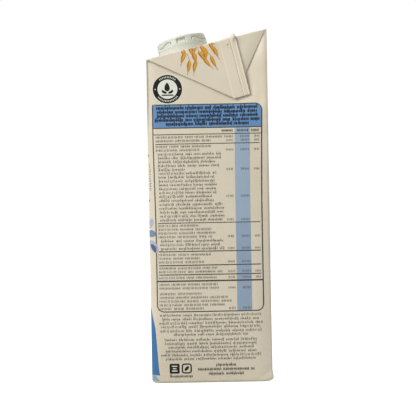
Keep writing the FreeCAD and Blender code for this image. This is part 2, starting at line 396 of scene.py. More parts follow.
@dataclass(frozen=True)
class Wear:
    """How far the board of a full, handled pack stands out of true."""

    # Half of the flat part of a side panel and of the front one, and how far each bulges and sways.
    side_half: float = 35.6
    front_half: float = 35.0
    side_bulge: float = 1.25
    front_bulge: float = 0.32
    side_sway: float = 0.10
    front_sway: float = 0.08
    # How far a side panel turns in before its front upright and before its rear one.
    front_turn: float = 0.62
    rear_turn: float = 0.30
    # Behind the ear: how steeply the panel climbs, how much more near the top, and its two steps.
    low_climb: float = 0.17
    high_climb: float = 0.23
    behind_ear: float = 0.5
    at_ridge: float = 0.2
    # Marks of handling: below the ear, at the lower rear corner, beside the rear upright, at the foot.
    ear_ridge: float = 0.2
    ear_dent: float = 0.30
    crease_swell: float = 0.26
    crease_depth: float = 0.42
    low_fall: float = 0.65
    high_rise: float = 0.34
    rear_foot: float = 0.8
    corner_lift: float = 0.55
    # The hanging ear: its slow wave, and how wide and how deep its rear edge turns in.
    ear_wave: float = 0.16
    ear_edge: float = 7.0
    ear_edge_turn: float = 0.72


@dataclass(frozen=True)
class Pack:
    """Sizes of the folded pack, and the surfaces that every board and print piece follows."""

    half_width: float
    half_depth: float
    rear_height: float
    front_height: float = 192.0
    corner: float = 1.5
    sharp_corner: float = 0.5
    cad_proud: float = 1.9
    ear_ply: float = 0.85
    ear_turn: float = 0.32
    edge_turn: float = 0.3
    rear_gap: float = 0.7
    fin_ply: float = 0.75
    fin_width: float = 9.2
    fin_margin: float = 3.6
    fin_roll: float = 1.1
    flap_ply: float = 1.0
    edge_round: float = 0.8
    base_round: float = 1.3
    wear: Wear = Wear()

    @classmethod
    def from_frame(cls) -> "Pack":
        """The pack with its outer sizes read from the CAD node."""
        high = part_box("carton")[1] / MM
        return cls(half_width=high.x - cls.cad_proud, half_depth=high.y, rear_height=high.z)

    @property
    def slope(self) -> float:
        """Angle of the top panel, in radians."""
        return math.atan2(self.rear_height - self.front_height, 2 * self.half_depth)

    @property
    def slope_length(self) -> float:
        """Front edge to rear edge of the top panel, up the slope."""
        return math.hypot(self.rear_height - self.front_height, 2 * self.half_depth)

    @property
    def fin_fold(self) -> float:
        """Front edge to the fold of the fin: the sheet is as long over the front as over the rear."""
        return (self.rear_height + self.slope_length - self.front_height) / 2

    def on_slope(self, x: Array, along: Array, out: Array) -> Array:
        """Point over the top panel.

        Args:
            x: place across the pack.
            along: way up the slope from the front edge.
            out: way out of the panel.

        Returns:
            Points, with x, y and z last.
        """
        s, c = math.sin(self.slope), math.cos(self.slope)
        x, along, out = np.broadcast_arrays(x, along, out)
        y, z = -self.half_depth + along * c - out * s, self.front_height + along * s + out * c
        return np.stack([x, y, z], -1)

    def rim(self, y: Array) -> Array:
        """Height of the top panel over a depth y."""
        return self.front_height + (y + self.half_depth) * math.tan(self.slope)

    def ear_drop(self, along: Array) -> Array:
        """How far the ear hangs below the top edge: a triangle, half the depth tall at the fin."""
        from_rear = (self.slope_length - self.rear_gap - along) / (self.slope_length - self.fin_fold)
        return self.half_depth * np.clip(np.minimum(along / self.fin_fold, from_rear), 0, 1)

    def side_turn(self, along: Array | float) -> tuple[Array, Array, Array]:
        """The turn of the top sheet over the side edge, which shrinks with the ear that hangs there.

        Args:
            along: way up the slope.

        Returns:
            Share of the ear's full ply, radius of the turn, and where it starts across the sheet.
        """
        body = smooth(self.ear_drop(np.asarray(along, float)), -1.5, 3.0)
        radius = self.edge_turn + self.ear_turn * body
        return body, radius, self.half_width + self.ear_ply * body - radius

    def _softness(self, x: Array, y: Array, z: Array, nx: Array, ny: Array) -> Array:
        """How far the panels stand out of true.

        The full pack bulges between its uprights, as 1 - |s / half|^3.4 at the sides and
        1 - (s / half)^2 in front, and fades under the ears and at the base.  Slow sines add
        unevenness, and bells add the few dents.

        Args:
            x: true place across.
            y: true place in depth.
            z: height above the floor.
            nx: x of the outward direction.
            ny: y of the outward direction.

        Returns:
            Shifts in x and y, last.
        """
        wear, level = self.wear, hump(z, -6, 36, 128, 172)
        side = wear.side_bulge * np.clip(1 - (np.abs(y) / wear.side_half) ** 3.4, 0, 1) * level
        side += wear.side_sway * np.sin(z / 17.0 + y / 11.0) * np.sin(y / 13.0 + 0.6) * smooth(z, 0, 30)
        # The board turns a little before each upright, more so towards the front.
        side -= (wear.front_turn * smooth(-y, 31.2, wear.side_half)
                 + wear.rear_turn * smooth(y, 27, 36) ** 2 * (1 - smooth(z, 70, 120)))
        # Behind the ear the panel climbs, square to the ear's rear edge, to a ridge by the upright.
        beyond = np.maximum(np.minimum(y, 34.0) - 15.9 - (z - 167.7) * 0.451, 0) * 0.911
        climb = (wear.low_climb + wear.high_climb * smooth(z, 182, 202)) * beyond - wear.behind_ear
        side += hump(z, 142, 168, 204, 209) * (climb - wear.at_ridge * smooth(y, 34.2, wear.side_half))
        # Under the foot of the ear the shown side has a dent, with a light ridge above it.
        shown = smooth(nx, 0, 0.5)
        ridge = wear.ear_ridge * bell(y, 29.0, 1.5) * bell(z, 172.5, 4.5)
        dent = ridge - wear.ear_dent * bell(y, 31.2, 1.6) * bell(z, 167.0, 3.6)
        # A crease climbs to the lower rear corner; under it the board stands out a little.
        crease = (z - 0.5) * 0.857 - (y - 25.5) * 0.514
        near = smooth(y, 24.5, 28.5) * (1 - smooth(z, 5.5, 10.5))
        dent += near * (wear.crease_swell * smooth(-crease, 0.1, 3.2)
                        - wear.crease_depth * bell(crease, 0.2, 0.55))
        # Next to the rear upright the panel falls away low down and stands up level with it high up.
        fall = wear.low_fall * (1 - smooth(z, 40, 75)) - wear.high_rise * hump(z, 115, 142, 150, 170)
        side += shown * (dent - fall * smooth(y, 27, 37))
        front = wear.front_bulge * level + wear.front_sway * np.sin(z / 19.0 + x / 9.0)
        front = front * np.clip(1 - (x / wear.front_half) ** 2, 0, 1)
        # The foot of the rear panel stands out towards the shown side.
        front += wear.rear_foot * bell(z, 1.0, 3.2) * smooth(ny, 0, 0.7) * smooth(x, 8, 34)
        return np.stack([nx * side, ny * front], -1)

    def sleeve(self, around: Array, height: Array, lift: Array | float = 0.0) -> Array:
        """Point of the wrapped sleeve.

        The way round starts at the middle of the +X side and runs towards +Y, measured at the
        full corner radius.  Uprights are sharp at the top and widen to the full radius half way
        down.  Panels follow _softness, and the top edge is rounded.

        Args:
            around: way round the sleeve.
            height: height above the floor.
            lift: way out of the surface.

        Returns:
            Points, with x, y and z last.
        """
        around, height, lift = np.broadcast_arrays(
            np.asarray(around, float), np.asarray(height, float), np.asarray(lift, float))
        half_y, half_x = self.half_depth - self.corner, self.half_width - self.corner
        arc = self.corner * math.pi / 2
        lengths = np.array([2 * half_y, arc, 2 * half_x, arc] * 2)
        ends = np.concatenate([[0.0], np.cumsum(lengths)])
        way = np.mod(around + half_y, ends[-1])
        part = np.clip(np.searchsorted(ends, way, side="right") - 1, 0, 7)
        share = (way - ends[part]) / lengths[part]
        angle = (part // 2 + (part % 2) * share) * math.pi / 2
        nx, ny = np.cos(angle), np.sin(angle)
        # Radius and centre of the uprights at both ends of each part, mixed by the share of the way.
        uprights = np.stack([np.where(part % 2 == 0, (part // 2 + 3) % 4, part // 2), part // 2])
        sign_x, sign_y = np.array([1, -1, -1, 1])[uprights], np.array([1, 1, -1, -1])[uprights]
        top = np.where(sign_y > 0, self.rear_height, self.front_height)
        radii = self.sharp_corner + (self.corner - self.sharp_corner) * smooth(top - height, 35, 110)
        centres = sign_x * (self.half_width - radii), sign_y * (self.half_depth - radii)
        radius, x, y = (first + (second - first) * share for first, second in (radii, *centres))
        x, y = x + radius * nx, y + radius * ny
        shift = self._softness(x, y, height, nx, ny)
        out = lift - inset_of_round(np.maximum(self.rim(y) - height, 0), self.edge_round)
        # The corners of the base are turned up: softly at the front, as a short slant at the rear.
        up = self.wear.corner_lift * bell(y, -self.half_depth, 2.4) + np.clip((y - 33.9) / 1.8, 0, 1)
        up = up * np.clip(1 - height / 10.0, 0, 1)
        return np.stack([x + shift[..., 0] + out * nx, y + shift[..., 1] + out * ny, height + up], -1)

    def fold(self, across: Array, along: Array, lift: Array | float = 0.0) -> Array:
        """Point of the outer face of the top panel and of the ears that hang from it.

        Across is 0 at the middle.  The sheet lies on the top panel, turns over the side edge in
        a quarter round and hangs straight down the side.  The ply of the ear and the radius of
        the turn shrink to almost nothing at both ends of the ear.

        Args:
            across: way across the sheet.
            along: way up the slope.
            lift: way out of the sheet.

        Returns:
            Points, with x, y and z last.
        """
        across, along, lift = np.broadcast_arrays(
            np.asarray(across, float), np.asarray(along, float), np.asarray(lift, float))
        body, radius, start = self.side_turn(along)
        wear, side = self.wear, np.abs(across)
        turn = np.clip((side - start) / radius, 0, math.pi / 2)
        down = np.maximum(side - start - radius * math.pi / 2, 0)
        # The hanging ear is a little hollow near its fin and full near its front fold.
        wave = wear.ear_wave * np.sin(down / 9.0 + along / 12.0) * smooth(down, 0, 6)
        # Its last strip before the rear edge turns in as a parabola, behind the fin.
        to_edge = np.clip(1 - (self.ear_drop(along) - down) * 0.62 / wear.ear_edge, 0, 1)
        behind = self.fin_fold + self.fin_width
        wave = (wave - wear.ear_edge_turn * to_edge**2 * smooth(along, behind - 0.2, behind + 1.3)) * body
        x = np.minimum(side, start) + (radius + lift) * np.sin(turn) + wave
        out = -radius + (radius + lift) * np.cos(turn) - down
        return self.on_slope(np.sign(across) * x, along, out)

    def edge_across(self, along: Array | float) -> Array:
        """Across value at the middle of the turn over the side edge."""
        _, radius, start = self.side_turn(along)
        return start + radius * math.pi / 4


@dataclass
class Board:
    """The folded board of the pack: sleeve with its top and base, ears, fin, seam and base flaps."""

    pack: Pack
    step: float = 1.5
    corner_steps: int = 12
    near_top: float = 180.0
    near_foot: float = 50.0
    seam_offset: float = 8.0
    seam_ply: float = 0.22
    seal_nick: float = 0.30
    bead: float = 1.05
    bead_at_turn: float = 0.25
    pressed_edge: float = 0.24

    def build(self) -> None:
        """Makes and dresses every board piece."""
        piece("board_sleeve", [self.sleeve_skin()], BOARD, stands_for=["carton"])
        piece("board_ears", [self.ear_skin(side) for side in (1, -1)], BOARD)
        piece("board_fin", [self.fin_skin()], BOARD)
        piece("board_rear_seam", [self.seam_skin()], BOARD)
        piece("board_base_flaps", [self.flap_skin(side) for side in (1, -1)], BOARD_UNDER)

    def ways_round(self) -> Array:
        """Stations round the sleeve: even on the panels, close on the uprights.

        Returns:
            Ways round, from the front end of the +X side.
        """
        pack = self.pack
        arc = pack.corner * math.pi / 2
        depth, width = 2 * (pack.half_depth - pack.corner), 2 * (pack.half_width - pack.corner)
        found, start = [], -depth / 2
        for length in (depth, arc, width, arc) * 2:
            count = self.corner_steps if length == arc else 2 * round(length / self.step / 2)
            found.append(start + np.linspace(0, length, count, endpoint=False))
            start += length
        return np.concatenate(found)

    def sleeve_skin(self) -> Skin:
        """Base, sleeve and top panel as one skin.

        Rings run from the middle of the base out to its rim, up the sleeve at even shares of
        the height of the rim, closely round both edges, and in over the top panel.

        Returns:
            The skin.
        """
        pack = self.pack
        ways = self.ways_round()[None, :]
        rim = pack.rim(pack.sleeve(ways, self.near_top)[..., 1])
        turns = (1 - np.sin(quarter(6)))[:, None]
        # Side panels turn under at the floor; front and rear panels end at the top of the flaps.
        on_side = np.abs(pack.sleeve(ways, self.near_foot)[..., 0]) > pack.half_width - 1.2
        foot = np.where(on_side, 0.0, 0.75 * pack.flap_ply)
        shares = np.linspace(0, 1, round(pack.rear_height / self.step))[1:-1, None]
        low, high = foot + pack.base_round, rim - pack.edge_round
        heights = np.concatenate([foot + pack.base_round * turns[::-1], low + (high - low) * shares,
                                  rim - pack.edge_round * turns])
        rings = pack.sleeve(ways, heights)
        back = inset_of_round(heights - foot, pack.base_round)
        normal = pack.sleeve(ways, heights, 1.0)[..., :2] - rings[..., :2]
        rings[..., :2] -= back[..., None] * normal
        scales = np.array([0.985, 0.95, 0.85, 0.6, 0.3, 0.0005])[:, None, None]
        base, top = rings[0] * scales, rings[-1] * scales
        sunk = smooth(1 - scales[..., 0], 0, 0.05)
        base[..., 2] = rings[0, :, 2] + (0.9 * pack.flap_ply - rings[0, :, 2]) * sunk
        top[..., 2] = pack.rim(top[..., 1]) + 0.06 * np.sin(top[..., 0] / 8.0) * np.sin(top[..., 1] / 9.0)
        return tube(np.concatenate([base[::-1], rings, top]))

    def ear_skin(self, side: int) -> Skin:
        """One ear: a folded plate carried up the slope.

        Its section starts level on the top panel, turns down the side, ends in a half-round
        fold as thick as the ear and comes back up inside.

        Args:
            side: 1 for the +X ear, -1 for the other.

        Returns:
            The skin.
        """
        pack = self.pack
        along = stations((0.02, pack.fin_fold, 40), (pack.fin_fold, pack.slope_length - 0.02, 26))[:, None]
        body, radius, start = pack.side_turn(along)
        ply, below = pack.ear_ply * body, start + radius * math.pi / 2
        foot = below + np.maximum(pack.ear_drop(along) - radius - ply / 2, 0.01)
        top = start - np.array([3.2, 2.2, 1.4, 0.7, 0.0])
        turn = start + radius * np.linspace(0.12, 1, 8) * math.pi / 2
        hang = below + (foot - below) * np.linspace(0.03, 1, 26)
        sheet = np.concatenate([top, turn, hang], axis=1)
        outer = pack.fold(sheet, along, np.where(sheet < start - 3.0, -0.12, 0.02))
        # Half-round fold at the foot: from the outer face round to the inner one.
        angle = np.linspace(0.15, 0.95, 6)[None, :] * math.pi
        thick = 0.44 * ply
        fold = pack.fold(foot + thick * np.sin(angle), along, 0.02 - thick * (1 - np.cos(angle)))
        back = np.linspace(1, 0, 31)[None, :]
        inner = pack.fold(top[:, :1] + (foot - top[:, :1]) * back, along, -np.maximum(ply, 0.25) - 0.05)
        rings = np.concatenate([outer, fold, inner], axis=1)
        rings[..., 0] *= side
        return tube(rings)

    def fin_skin(self) -> Skin:
        """The top fin, pressed to the rear, as a plate carried across the sheet.

        Its section is low at the fold, flat, nicked along the seal and full at the free
        margin; on the top panel that margin springs up as a bead.

        Returns:
            The skin.
        """
        pack, width = self.pack, self.pack.fin_width
        edge = float(pack.edge_across(pack.fin_fold))
        end = edge + pack.half_depth - 0.6
        half = stations((0, edge - 2, 24), (edge - 2, edge + 2, 21), (edge + 2, end, 34))
        across = np.union1d(-half, half)[:, None]
        seal = width - pack.fin_margin
        way = stations((-pack.fin_roll, width, 26), (seal - 0.7, seal + 0.9, 13), (width - 1.2, width, 13))
        on_top = 1 - smooth(np.abs(across), edge, edge + 3.0)
        at_turn = bell(np.abs(across), edge, 2.5)
        plies = (0.3 * smooth(way, -pack.fin_roll, -0.4) + 0.4 * smooth(way, -0.6, seal)
                 + 0.3 * smooth(way, seal + 0.1, seal + 0.6))
        face = pack.fin_ply * plies - self.seal_nick * bell(way, seal, 0.26)
        # Over the top panel and round the turn the free margin springs up as a bead with one crest.
        crest = smooth(way, seal + 0.3, seal + 1.8) * (1 - 0.7 * smooth(way, seal + 2.7, width + 0.2))
        face = face + (self.bead * on_top + self.bead_at_turn * at_turn) * crest
        # The pressed margin has a thin raised edge, cut square.
        face = face + self.pressed_edge * smooth(way, width - 1.15, width - 0.3) * (1 - on_top)
        face = face - inset_of_round(width - way, 0.12)
        under = np.maximum(face - pack.fin_ply * (0.35 + 0.65 * smooth(way, 0, 3)), -0.12)
        under = np.where(way < width * 0.6, np.minimum(under, -0.08), under)
        along = pack.fin_fold + way
        return slab(pack.fold(across, along, face), pack.fold(across, along, under))

    def seam_skin(self) -> Skin:
        """Overlap seam up the rear panel: a strip 8 mm wide and a ply proud, thinned at its edges.

        Returns:
            The skin.
        """
        pack = self.pack
        off = np.array([-4.0, -3.85, -2.0, 0, 2.0, 3.85, 4.0])[None, :]
        across = pack.half_depth + pack.half_width + self.seam_offset + off
        height = np.linspace(2.0, pack.rear_height - 0.9, 120)[:, None]
        lift = np.where(np.abs(off) > 3.9, 0.0, self.seam_ply)
        return slab(pack.sleeve(across, height, lift), pack.sleeve(across, height, -0.3))

    def flap_skin(self, side: int) -> Skin:
        """One base flap: a triangle folded in under the pack with its tip at the middle.

        Args:
            side: 1 for the flap from the +X side, -1 for the other.

        Returns:
            The skin.
        """
        pack = self.pack
        reach = np.append(np.linspace(0, 0.97, 30), 1.0)[:, None]
        half = (pack.half_depth - 1.5) * (1 - reach) + 0.05
        share = np.linspace(-1, 1, 24)[None, :]
        x = pack.half_width - 0.55 - reach * (pack.half_depth - 2.2) + 0 * share
        y = half * share
        rounded = 0.45 * (1 - smooth(half * (1 - np.abs(share)), 0, 0.8))
        low = 0.02 + rounded + 0.05 * (1 + np.sin(x / 5.0 + y / 7.0)) * smooth(reach, 0, 0.2)
        over = np.full_like(x, pack.flap_ply + 0.15)
        return slab(np.stack([side * x, y, low], -1), np.stack([side * x, y, over], -1))


# --- The closure -------------------------------------------------------------------------------


@dataclass
class Closure:
    """Spout, tamper band and cap, turned about an axis square to the top panel."""

    pack: Pack
    setback: float = 23.2
    neck: float = 13.0
    flange: float = 17.5
    collar: float = 14.6
    band_inside: float = 13.2
    band_outside: float = 15.7
    band_foot: float = 2.5
    band_top: float = 6.78
    cap_foot: float = 6.8
    cap_top: float = 12.7
    cap_radius: float = 15.35
    skirt_rise: float = 0.35
    skirt_low: float = 1.6
    skirt_climb: float = 1.85
    skirt_hook: float = 0.75
    groove: float = 0.75
    hook: float = 0.6
    slit: float = 0.8
    waist: float = 0.10
    rim_round: float = 1.0
    rim_width: float = 2.5
    dish: float = 0.5
    repeats: int = 3
    bridges: int = 12
    spout_points: int = 180
    band_points: int = 240
    cap_points: int = 960

    def build(self) -> None:
        """Makes and dresses the three mouldings."""
        band = [self.band_skin(), *self.bridge_skins()]
        piece("closure_spout", [self.spout_skin()], SPOUT_MOULDING, ["spout"], crease=30)
        piece("closure_tamper_band", band, CAP_MOULDING, ["tamper_band"], crease=30)
        piece("closure_cap", [self.cap_skin()], CAP_MOULDING, ["cap"], crease=50)
        # The window floors carry painted shade: a darker tone stands for the shadow in the recesses.
        piece("closure_cap_window_shade", self.window_skins(), CAP_PAINTED_SHADE)

    def turned(self, radius: Array | float, angle: Array, height: Array | float) -> Array:
        """Point at a radius, angle from +X and height above the top panel."""
        return self.pack.on_slope(radius * np.cos(angle), self.setback + radius * np.sin(angle), height)

    def lathe(self, profile: Sequence[Pair], count: int) -> Array:
        """Rings of a profile of radii and heights, turned about the axis."""
        radii, heights = np.array(profile).T[:, :, None]
        return self.turned(radii, circle(count), heights)

    def spout_skin(self) -> Skin:
        """Flange, collar and neck: one profile turned about the axis.

        Returns:
            The skin.
        """
        neck, collar, flange = self.neck, self.collar, self.flange
        return tube(self.lathe([
            (0.01, 0.02), (flange, 0.02), (flange, 0.5), (flange - 0.5, 1.0), (collar + 0.5, 1.02),
            (collar + 0.15, 1.15), (collar, 1.5), (collar, 2.3), (collar - 0.2, 2.5), (neck, 2.5),
            (neck, 6.85), (0.01, 6.85)], self.spout_points))

    def band_skin(self) -> Skin:
        """Tamper band: a ring with rounded outer edges and a shallow groove round its waist.

        Returns:
            The skin.
        """
        turn, edge = quarter(5), 0.14
        outside, foot, top = self.band_outside - edge, self.band_foot, self.band_top
        low = np.stack([outside + edge * np.sin(turn), foot + edge - edge * np.cos(turn)], -1)
        high = np.stack([outside + edge * np.cos(turn), top - edge + edge * np.sin(turn)], -1)
        waist = np.linspace(foot + 0.6, top - 0.6, 9)
        wall = np.stack([self.band_outside - self.waist * bell(waist, 5.3, 0.35), waist], -1)
        inside = self.band_inside
        profile = np.concatenate([[(inside, foot)], low, wall, high, [(inside, top)]])
        return hoop(self.lathe(profile, self.band_points))

    def bridge_skins(self) -> list[Skin]:
        """Little bridges that still join the band to the cap, evenly spaced round it.

        Returns:
            One skin for each bridge.
        """
        radius = self.cap_radius - np.array([[1.0], [0.1]])
        width = np.linspace(-0.5, 0.5, 4)[None, :] / self.cap_radius
        angles = [2 * math.pi * (k + 0.5) / self.bridges + width for k in range(self.bridges)]
        ends = (self.cap_foot + 0.1, self.band_top - 0.1)
        return [slab(*(self.turned(radius, angle, end) for end in ends)) for angle in angles]

    def _cap_wall(self, angle: Array, height: Array) -> Array:
        """Relief of the cap wall.

        Round each third of the wall the lower skirt stands proud under a line that is low
        between two thirds, climbs in a soft S and ends in a small hook; between the hooks the
        wall is plain but for one window, scooped deepest at its head, with a slit each side.

        Args:
            angle: angles round the axis.
            height: heights above the top panel.

        Returns:
            Radii.
        """
        # Angles below are degrees off the middle of a third; heights go from the foot or the top.
        foot, top = self.cap_foot, self.cap_top
        third = 2 * math.pi / self.repeats
        off = np.degrees(np.abs(np.mod(angle + third / 2, third) - third / 2))
        banded = smooth(off, 24.6, 25.6)
        climb, dip = 1 - smooth(off, 33.0, 55.0), 1 - smooth(off, 26.2, 27.4)
        line = foot + self.skirt_low + self.skirt_climb * climb - self.skirt_hook * dip * banded
        step = np.where(off < 25.1, top - 2.0, line)
        skirt = banded * (1 - smooth(height, step - 0.12, step + 0.16))
        proud = self.skirt_rise * (skirt + (1 - banded) * (1 - smooth(height, foot + 1.2, top - 1.2)))
        groove = self.groove * banded * bell(height, line + 0.22, 0.34)
        hook = self.hook * bell(off, 25.4, 1.0) * hump(height, foot + 1.9, foot + 2.3, foot + 3.2, foot + 3.6)
        scoop = (1 - smooth(off, 8.6, 9.8)) * hump(height, foot + 1.4, foot + 2.6, top - 1.9, top - 1.05)
        slit = self.slit * bell(off, 10.2, 0.9) * hump(height, foot + 0.9, foot + 1.6, top - 2.0, top - 1.4)
        return self.cap_radius + proud - groove - hook - scoop - slit

    def window_skins(self) -> list[Skin]:
        """Floors of the three windows, darker to paint the shade in the recesses: plates bowed like the wall.

        Returns:
            One skin for each window.
        """
        foot, top, radius = self.cap_foot, self.cap_top, self.cap_radius
        height = np.linspace(foot + 2.55, top - 1.45, 10)[:, None]
        outer, inner = radius - 0.93 + 0.25 * smooth(height, foot + 2.5, top - 1.4), radius - 1.5
        bow = np.radians(np.linspace(-8.3, 8.3, 16))[None, :]
        angles = [2 * math.pi * k / self.repeats + bow for k in range(self.repeats)]
        return [slab(*(self.turned(side, angle, height) for side in (outer, inner))) for angle in angles]

    def cap_skin(self) -> Skin:
        """The cap: foot, relief wall, rounded rim and shallow dish, as rings round the axis.

        Returns:
            The skin.
        """
        foot, top, count = self.cap_foot, self.cap_top, self.cap_points
        angle, turn = circle(count), quarter(8)[1:, None]
        shoulder, edge = top - self.rim_round, self.cap_radius - self.rim_width
        low = top - self.dish
        wall = np.append(foot + np.array([0, 0.08, 0.2]), np.linspace(foot + 0.32, shoulder, 40))[:, None]
        return tube(np.concatenate([
            self.lathe([(0.01, foot), (self.cap_radius - 1.6, foot)], count),
            self.turned(self._cap_wall(angle, wall) - inset_of_round(wall - foot, 0.1), angle, wall),
            self.turned(self.cap_radius - self.rim_round + self.rim_round * np.cos(turn), angle,
                        shoulder + self.rim_round * np.sin(turn)),
            self.lathe([(edge + 0.25, top), (edge, top - 0.05), (edge - 0.3, low), (edge - 0.8, low - 0.04),
                        (4.0, low + 0.05), (0.01, low + 0.08)], count)]))


# --- The print ---------------------------------------------------------------------------------


@dataclass(frozen=True)
class Comb:
    """One style of meaningless print: how tall and far apart its strokes are, how wide a stroke and
    its cross bar are, and the shares of strokes that rise above the row or dip below it.
    """

    tall: float
    pitch: float
    stroke: float
    bar: float
    risers: float = 0.0
    dips: float = 0.0


class Style(Enum):
    """Styles of print on the pack, by weight and size."""

    SMALL = Comb(1.22, 0.80, 0.235, 0.125, 0.30, 0.12)
    CAPS = Comb(1.50, 0.80, 0.20, 0.11)
    BOLD = Comb(1.32, 0.78, 0.35, 0.24, 0.22, 0.1)
    BOLD_CAPS = Comb(1.62, 0.78, 0.33, 0.27)
    HEADING = Comb(1.66, 0.80, 0.59, 0.53, 0.26, 0.12)


@dataclass(frozen=True)
class Face:
    """A printed face: lays ink on its surface as thin closed skins.

    The surface turns flat coordinates, across and up, and a lift into points.
    """

    surface: Surface
    skins: dict[Ink, list[Skin]]
    depth: float = 0.14

    def lay(self, ink: Ink, across: Array, up: Array, lift: float,
            shape: Callable[[Array, Array], Skin] = slab) -> None:
        """Lays one field of ink: its points on the board and the same points in the board, as a shape."""
        over, under = self.surface(across, up, lift), self.surface(across, up, -self.depth)
        self.skins.setdefault(ink, []).append(shape(over, under))

    def boxes(self, ink: Ink, left: Array, low: Array, right: Array, high: Array) -> None:
        """Lays small upright rectangles.

        Args:
            ink: the ink.
            left: their left edges.
            low: their lower edges.
            right: their right edges.
            high: their upper edges.
        """
        left, low, right, high = np.broadcast_arrays(left, low, right, high)
        across, up = np.stack([left, right, right, left], -1), np.stack([low, low, high, high], -1)
        self.lay(ink, across, up, STROKE_LIFT, studs)

    def panel(self, ink: Ink, box: Sequence[float], radii: Sequence[float] = (0, 0, 0, 0),
              lift: float = FIELD_LIFT, step: float = 1.2) -> None:
        """Lays a rectangle whose corners may be round.

        Rows run up it; the ends of a row stand in by r - sqrt(r^2 - d^2) near a round corner.

        Args:
            ink: the ink.
            box: left, bottom, right, top.
            radii: bottom left, bottom right, top right, top left.
            lift: height of the ink.
            step: spacing of its grid.
        """
        left, low, right, high = box
        near = np.array([0.0, 0.05, 0.15, 0.3, 0.55, 0.9, 1.4, 2.0, 2.8, 3.6])
        rows = np.linspace(low, high, max(2, round((high - low) / step)))
        rows = np.unique(np.concatenate([rows, low + near, high - near]))
        rows = rows[(rows >= low) & (rows <= high)][:, None]
        at_left, at_right = (
            np.maximum(inset_of_round(rows - low, bottom), inset_of_round(high - rows, top))
            for bottom, top in ((radii[0], radii[3]), (radii[1], radii[2])))
        share = np.linspace(0, 1, max(2, round((right - left) / step)))[None, :]
        across = (left + at_left) + (right - left - at_left - at_right) * share
        self.lay(ink, across, rows + 0 * across, lift)

    def line(self, ink: Ink, path: Array, width: float | Array, lift: float = LINE_LIFT,
             closed: bool = False) -> None:
        """Lays a ribbon of ink along a path, half its width to each side of it.

        Args:
            ink: the ink.
            path: points by two.
            width: one width, or one for each point.
            lift: height of the ink.
            closed: whether the path ends where it starts.
        """
        ahead = np.roll(path, -1, 0) - np.roll(path, 1, 0)
        if not closed:
            ahead[0], ahead[-1] = path[1] - path[0], path[-1] - path[-2]
        ahead /= np.maximum(np.linalg.norm(ahead, axis=1, keepdims=True), 1e-9)
        side = np.stack([-ahead[:, 1], ahead[:, 0]], -1) * (np.broadcast_to(width, len(path))[:, None] / 2)
        across, up = np.moveaxis(np.stack([path + side, path - side], 1), -1, 0)
        self.lay(ink, across, up, lift, partial(slab, shut=hoop if closed else tube))

    def straight(self, ink: Ink, start: Pair, end: Pair, width: float, lift: float = LINE_LIFT) -> None:
        """Lays a straight line of ink, with a point every 1.5 mm so that it follows the surface."""
        self.line(ink, np.linspace(start, end, max(2, round(math.dist(start, end) / 1.5))), width, lift)

    def disc(self, ink: Ink, centre: Pair, outer: float, inner: float = 0.01, lift: float = LINE_LIFT,
             points: int = 96) -> None:
        """Lays a disc, or a ring round an inner radius, as six circles from the inside out."""
        angle, radii = circle(points), np.linspace(inner, outer, 6)[:, None]
        self.lay(ink, centre[0] + radii * np.cos(angle), centre[1] + radii * np.sin(angle), lift, washer)

    def blade(self, ink: Ink, root: Pair, heading: float, length: float, width: float, bend: float = 0.0,
              ends: Pair = (0.5, 0.5), lift: float = BLADE_LIFT, side: Pair = (-1.0, 1.0)) -> None:
        """Lays a leaf, petal or grain.

        Its centre line leaves the root at the heading and bows sideways as bend * s * (1 - s) * 4;
        its half width is s^a * (1 - s)^b over the peak of that, so small powers round an end off
        and powers near 1 draw it to a point.

        Args:
            ink: the ink.
            root: where it starts.
            heading: degrees from the across direction.
            length: root to tip.
            width: at its widest.
            bend: bow of the centre line.
            ends: the powers a and b.
            lift: height of the ink.
            side: part of the width that is inked, from -1 to 1.
        """
        s = (1 - np.cos(np.linspace(0.06, math.pi - 0.06, max(12, round(length * 2.0)))[:, None])) / 2
        c = np.linspace(side[0], side[1], 7)[None, :]
        a, b = ends
        peak = (a / (a + b)) ** a * (b / (a + b)) ** b
        half = width / 2 * s**a * (1 - s) ** b / peak
        run, off = length * s + 0 * c, bend * 4 * s * (1 - s) + half * c
        cos, sin = math.cos(math.radians(heading)), math.sin(math.radians(heading))
        self.lay(ink, root[0] + run * cos - off * sin, root[1] + run * sin + off * cos, lift)

    def between(self, ink: Ink, across: Array, low: float, high: Array, rows: int = 40,
                lift: float = FIELD_LIFT) -> None:
        """Lays the field between a level and a curve over the same stations across."""
        share = np.linspace(0, 1, rows)[:, None]
        self.lay(ink, across[None, :] + 0 * share, low + (high - low) * share, lift)

    def ticks(self, row: float, start: float, end: float, style: Style = Style.SMALL, ink: Ink = Ink.DARK,
              seed: int = 0) -> None:
        """Lays a line of print as meaningless ticks in groups as long as words.

        A group is a comb: upright strokes, unevenly spaced, and one thin bar through them.

        Args:
            row: middle of the row.
            start: left end.
            end: right end.
            style: height, weight and spacing.
            ink: the ink.
            seed: picks the pattern, with the place.
        """
        # Each row and place has a seed of its own, so that no two rows share a pattern.
        draw = np.random.default_rng(seed * 7919 + int(abs(row) * 40) + int((start + 400) * 8))
        comb = style.value
        count = max(3, round((end - start) / comb.pitch))
        spread = (end - start - comb.stroke - 0.3 * comb.pitch) / (count - 1)
        places = start + spread * np.arange(count) + 0.5 * comb.pitch * draw.random(count)
        kept = ~np.isin(np.arange(count), np.cumsum(draw.integers(6, 22, 40)))
        # No word at either end is shorter than three strokes.
        kept[:3], kept[-3:] = True, True
        group, places = np.cumsum(~kept)[kept], places[kept]
        rise = np.where(draw.random(len(places)) < comb.risers, 1.45, 1.0) * comb.tall
        dip = np.where(draw.random(len(places)) < comb.dips, 0.45, 0.0)
        low, level = row - comb.tall / 2, row - comb.bar / 2
        first = np.flatnonzero(np.diff(group, prepend=-1) > 0)
        last = np.append(first[1:] - 1, len(places) - 1)
        left, right = np.append(places, places[first]), np.append(places, places[last]) + comb.stroke
        bars = np.full(len(first), level)
        self.boxes(ink, left, np.append(low - dip, bars), right, np.append(low + rise, bars + comb.bar))


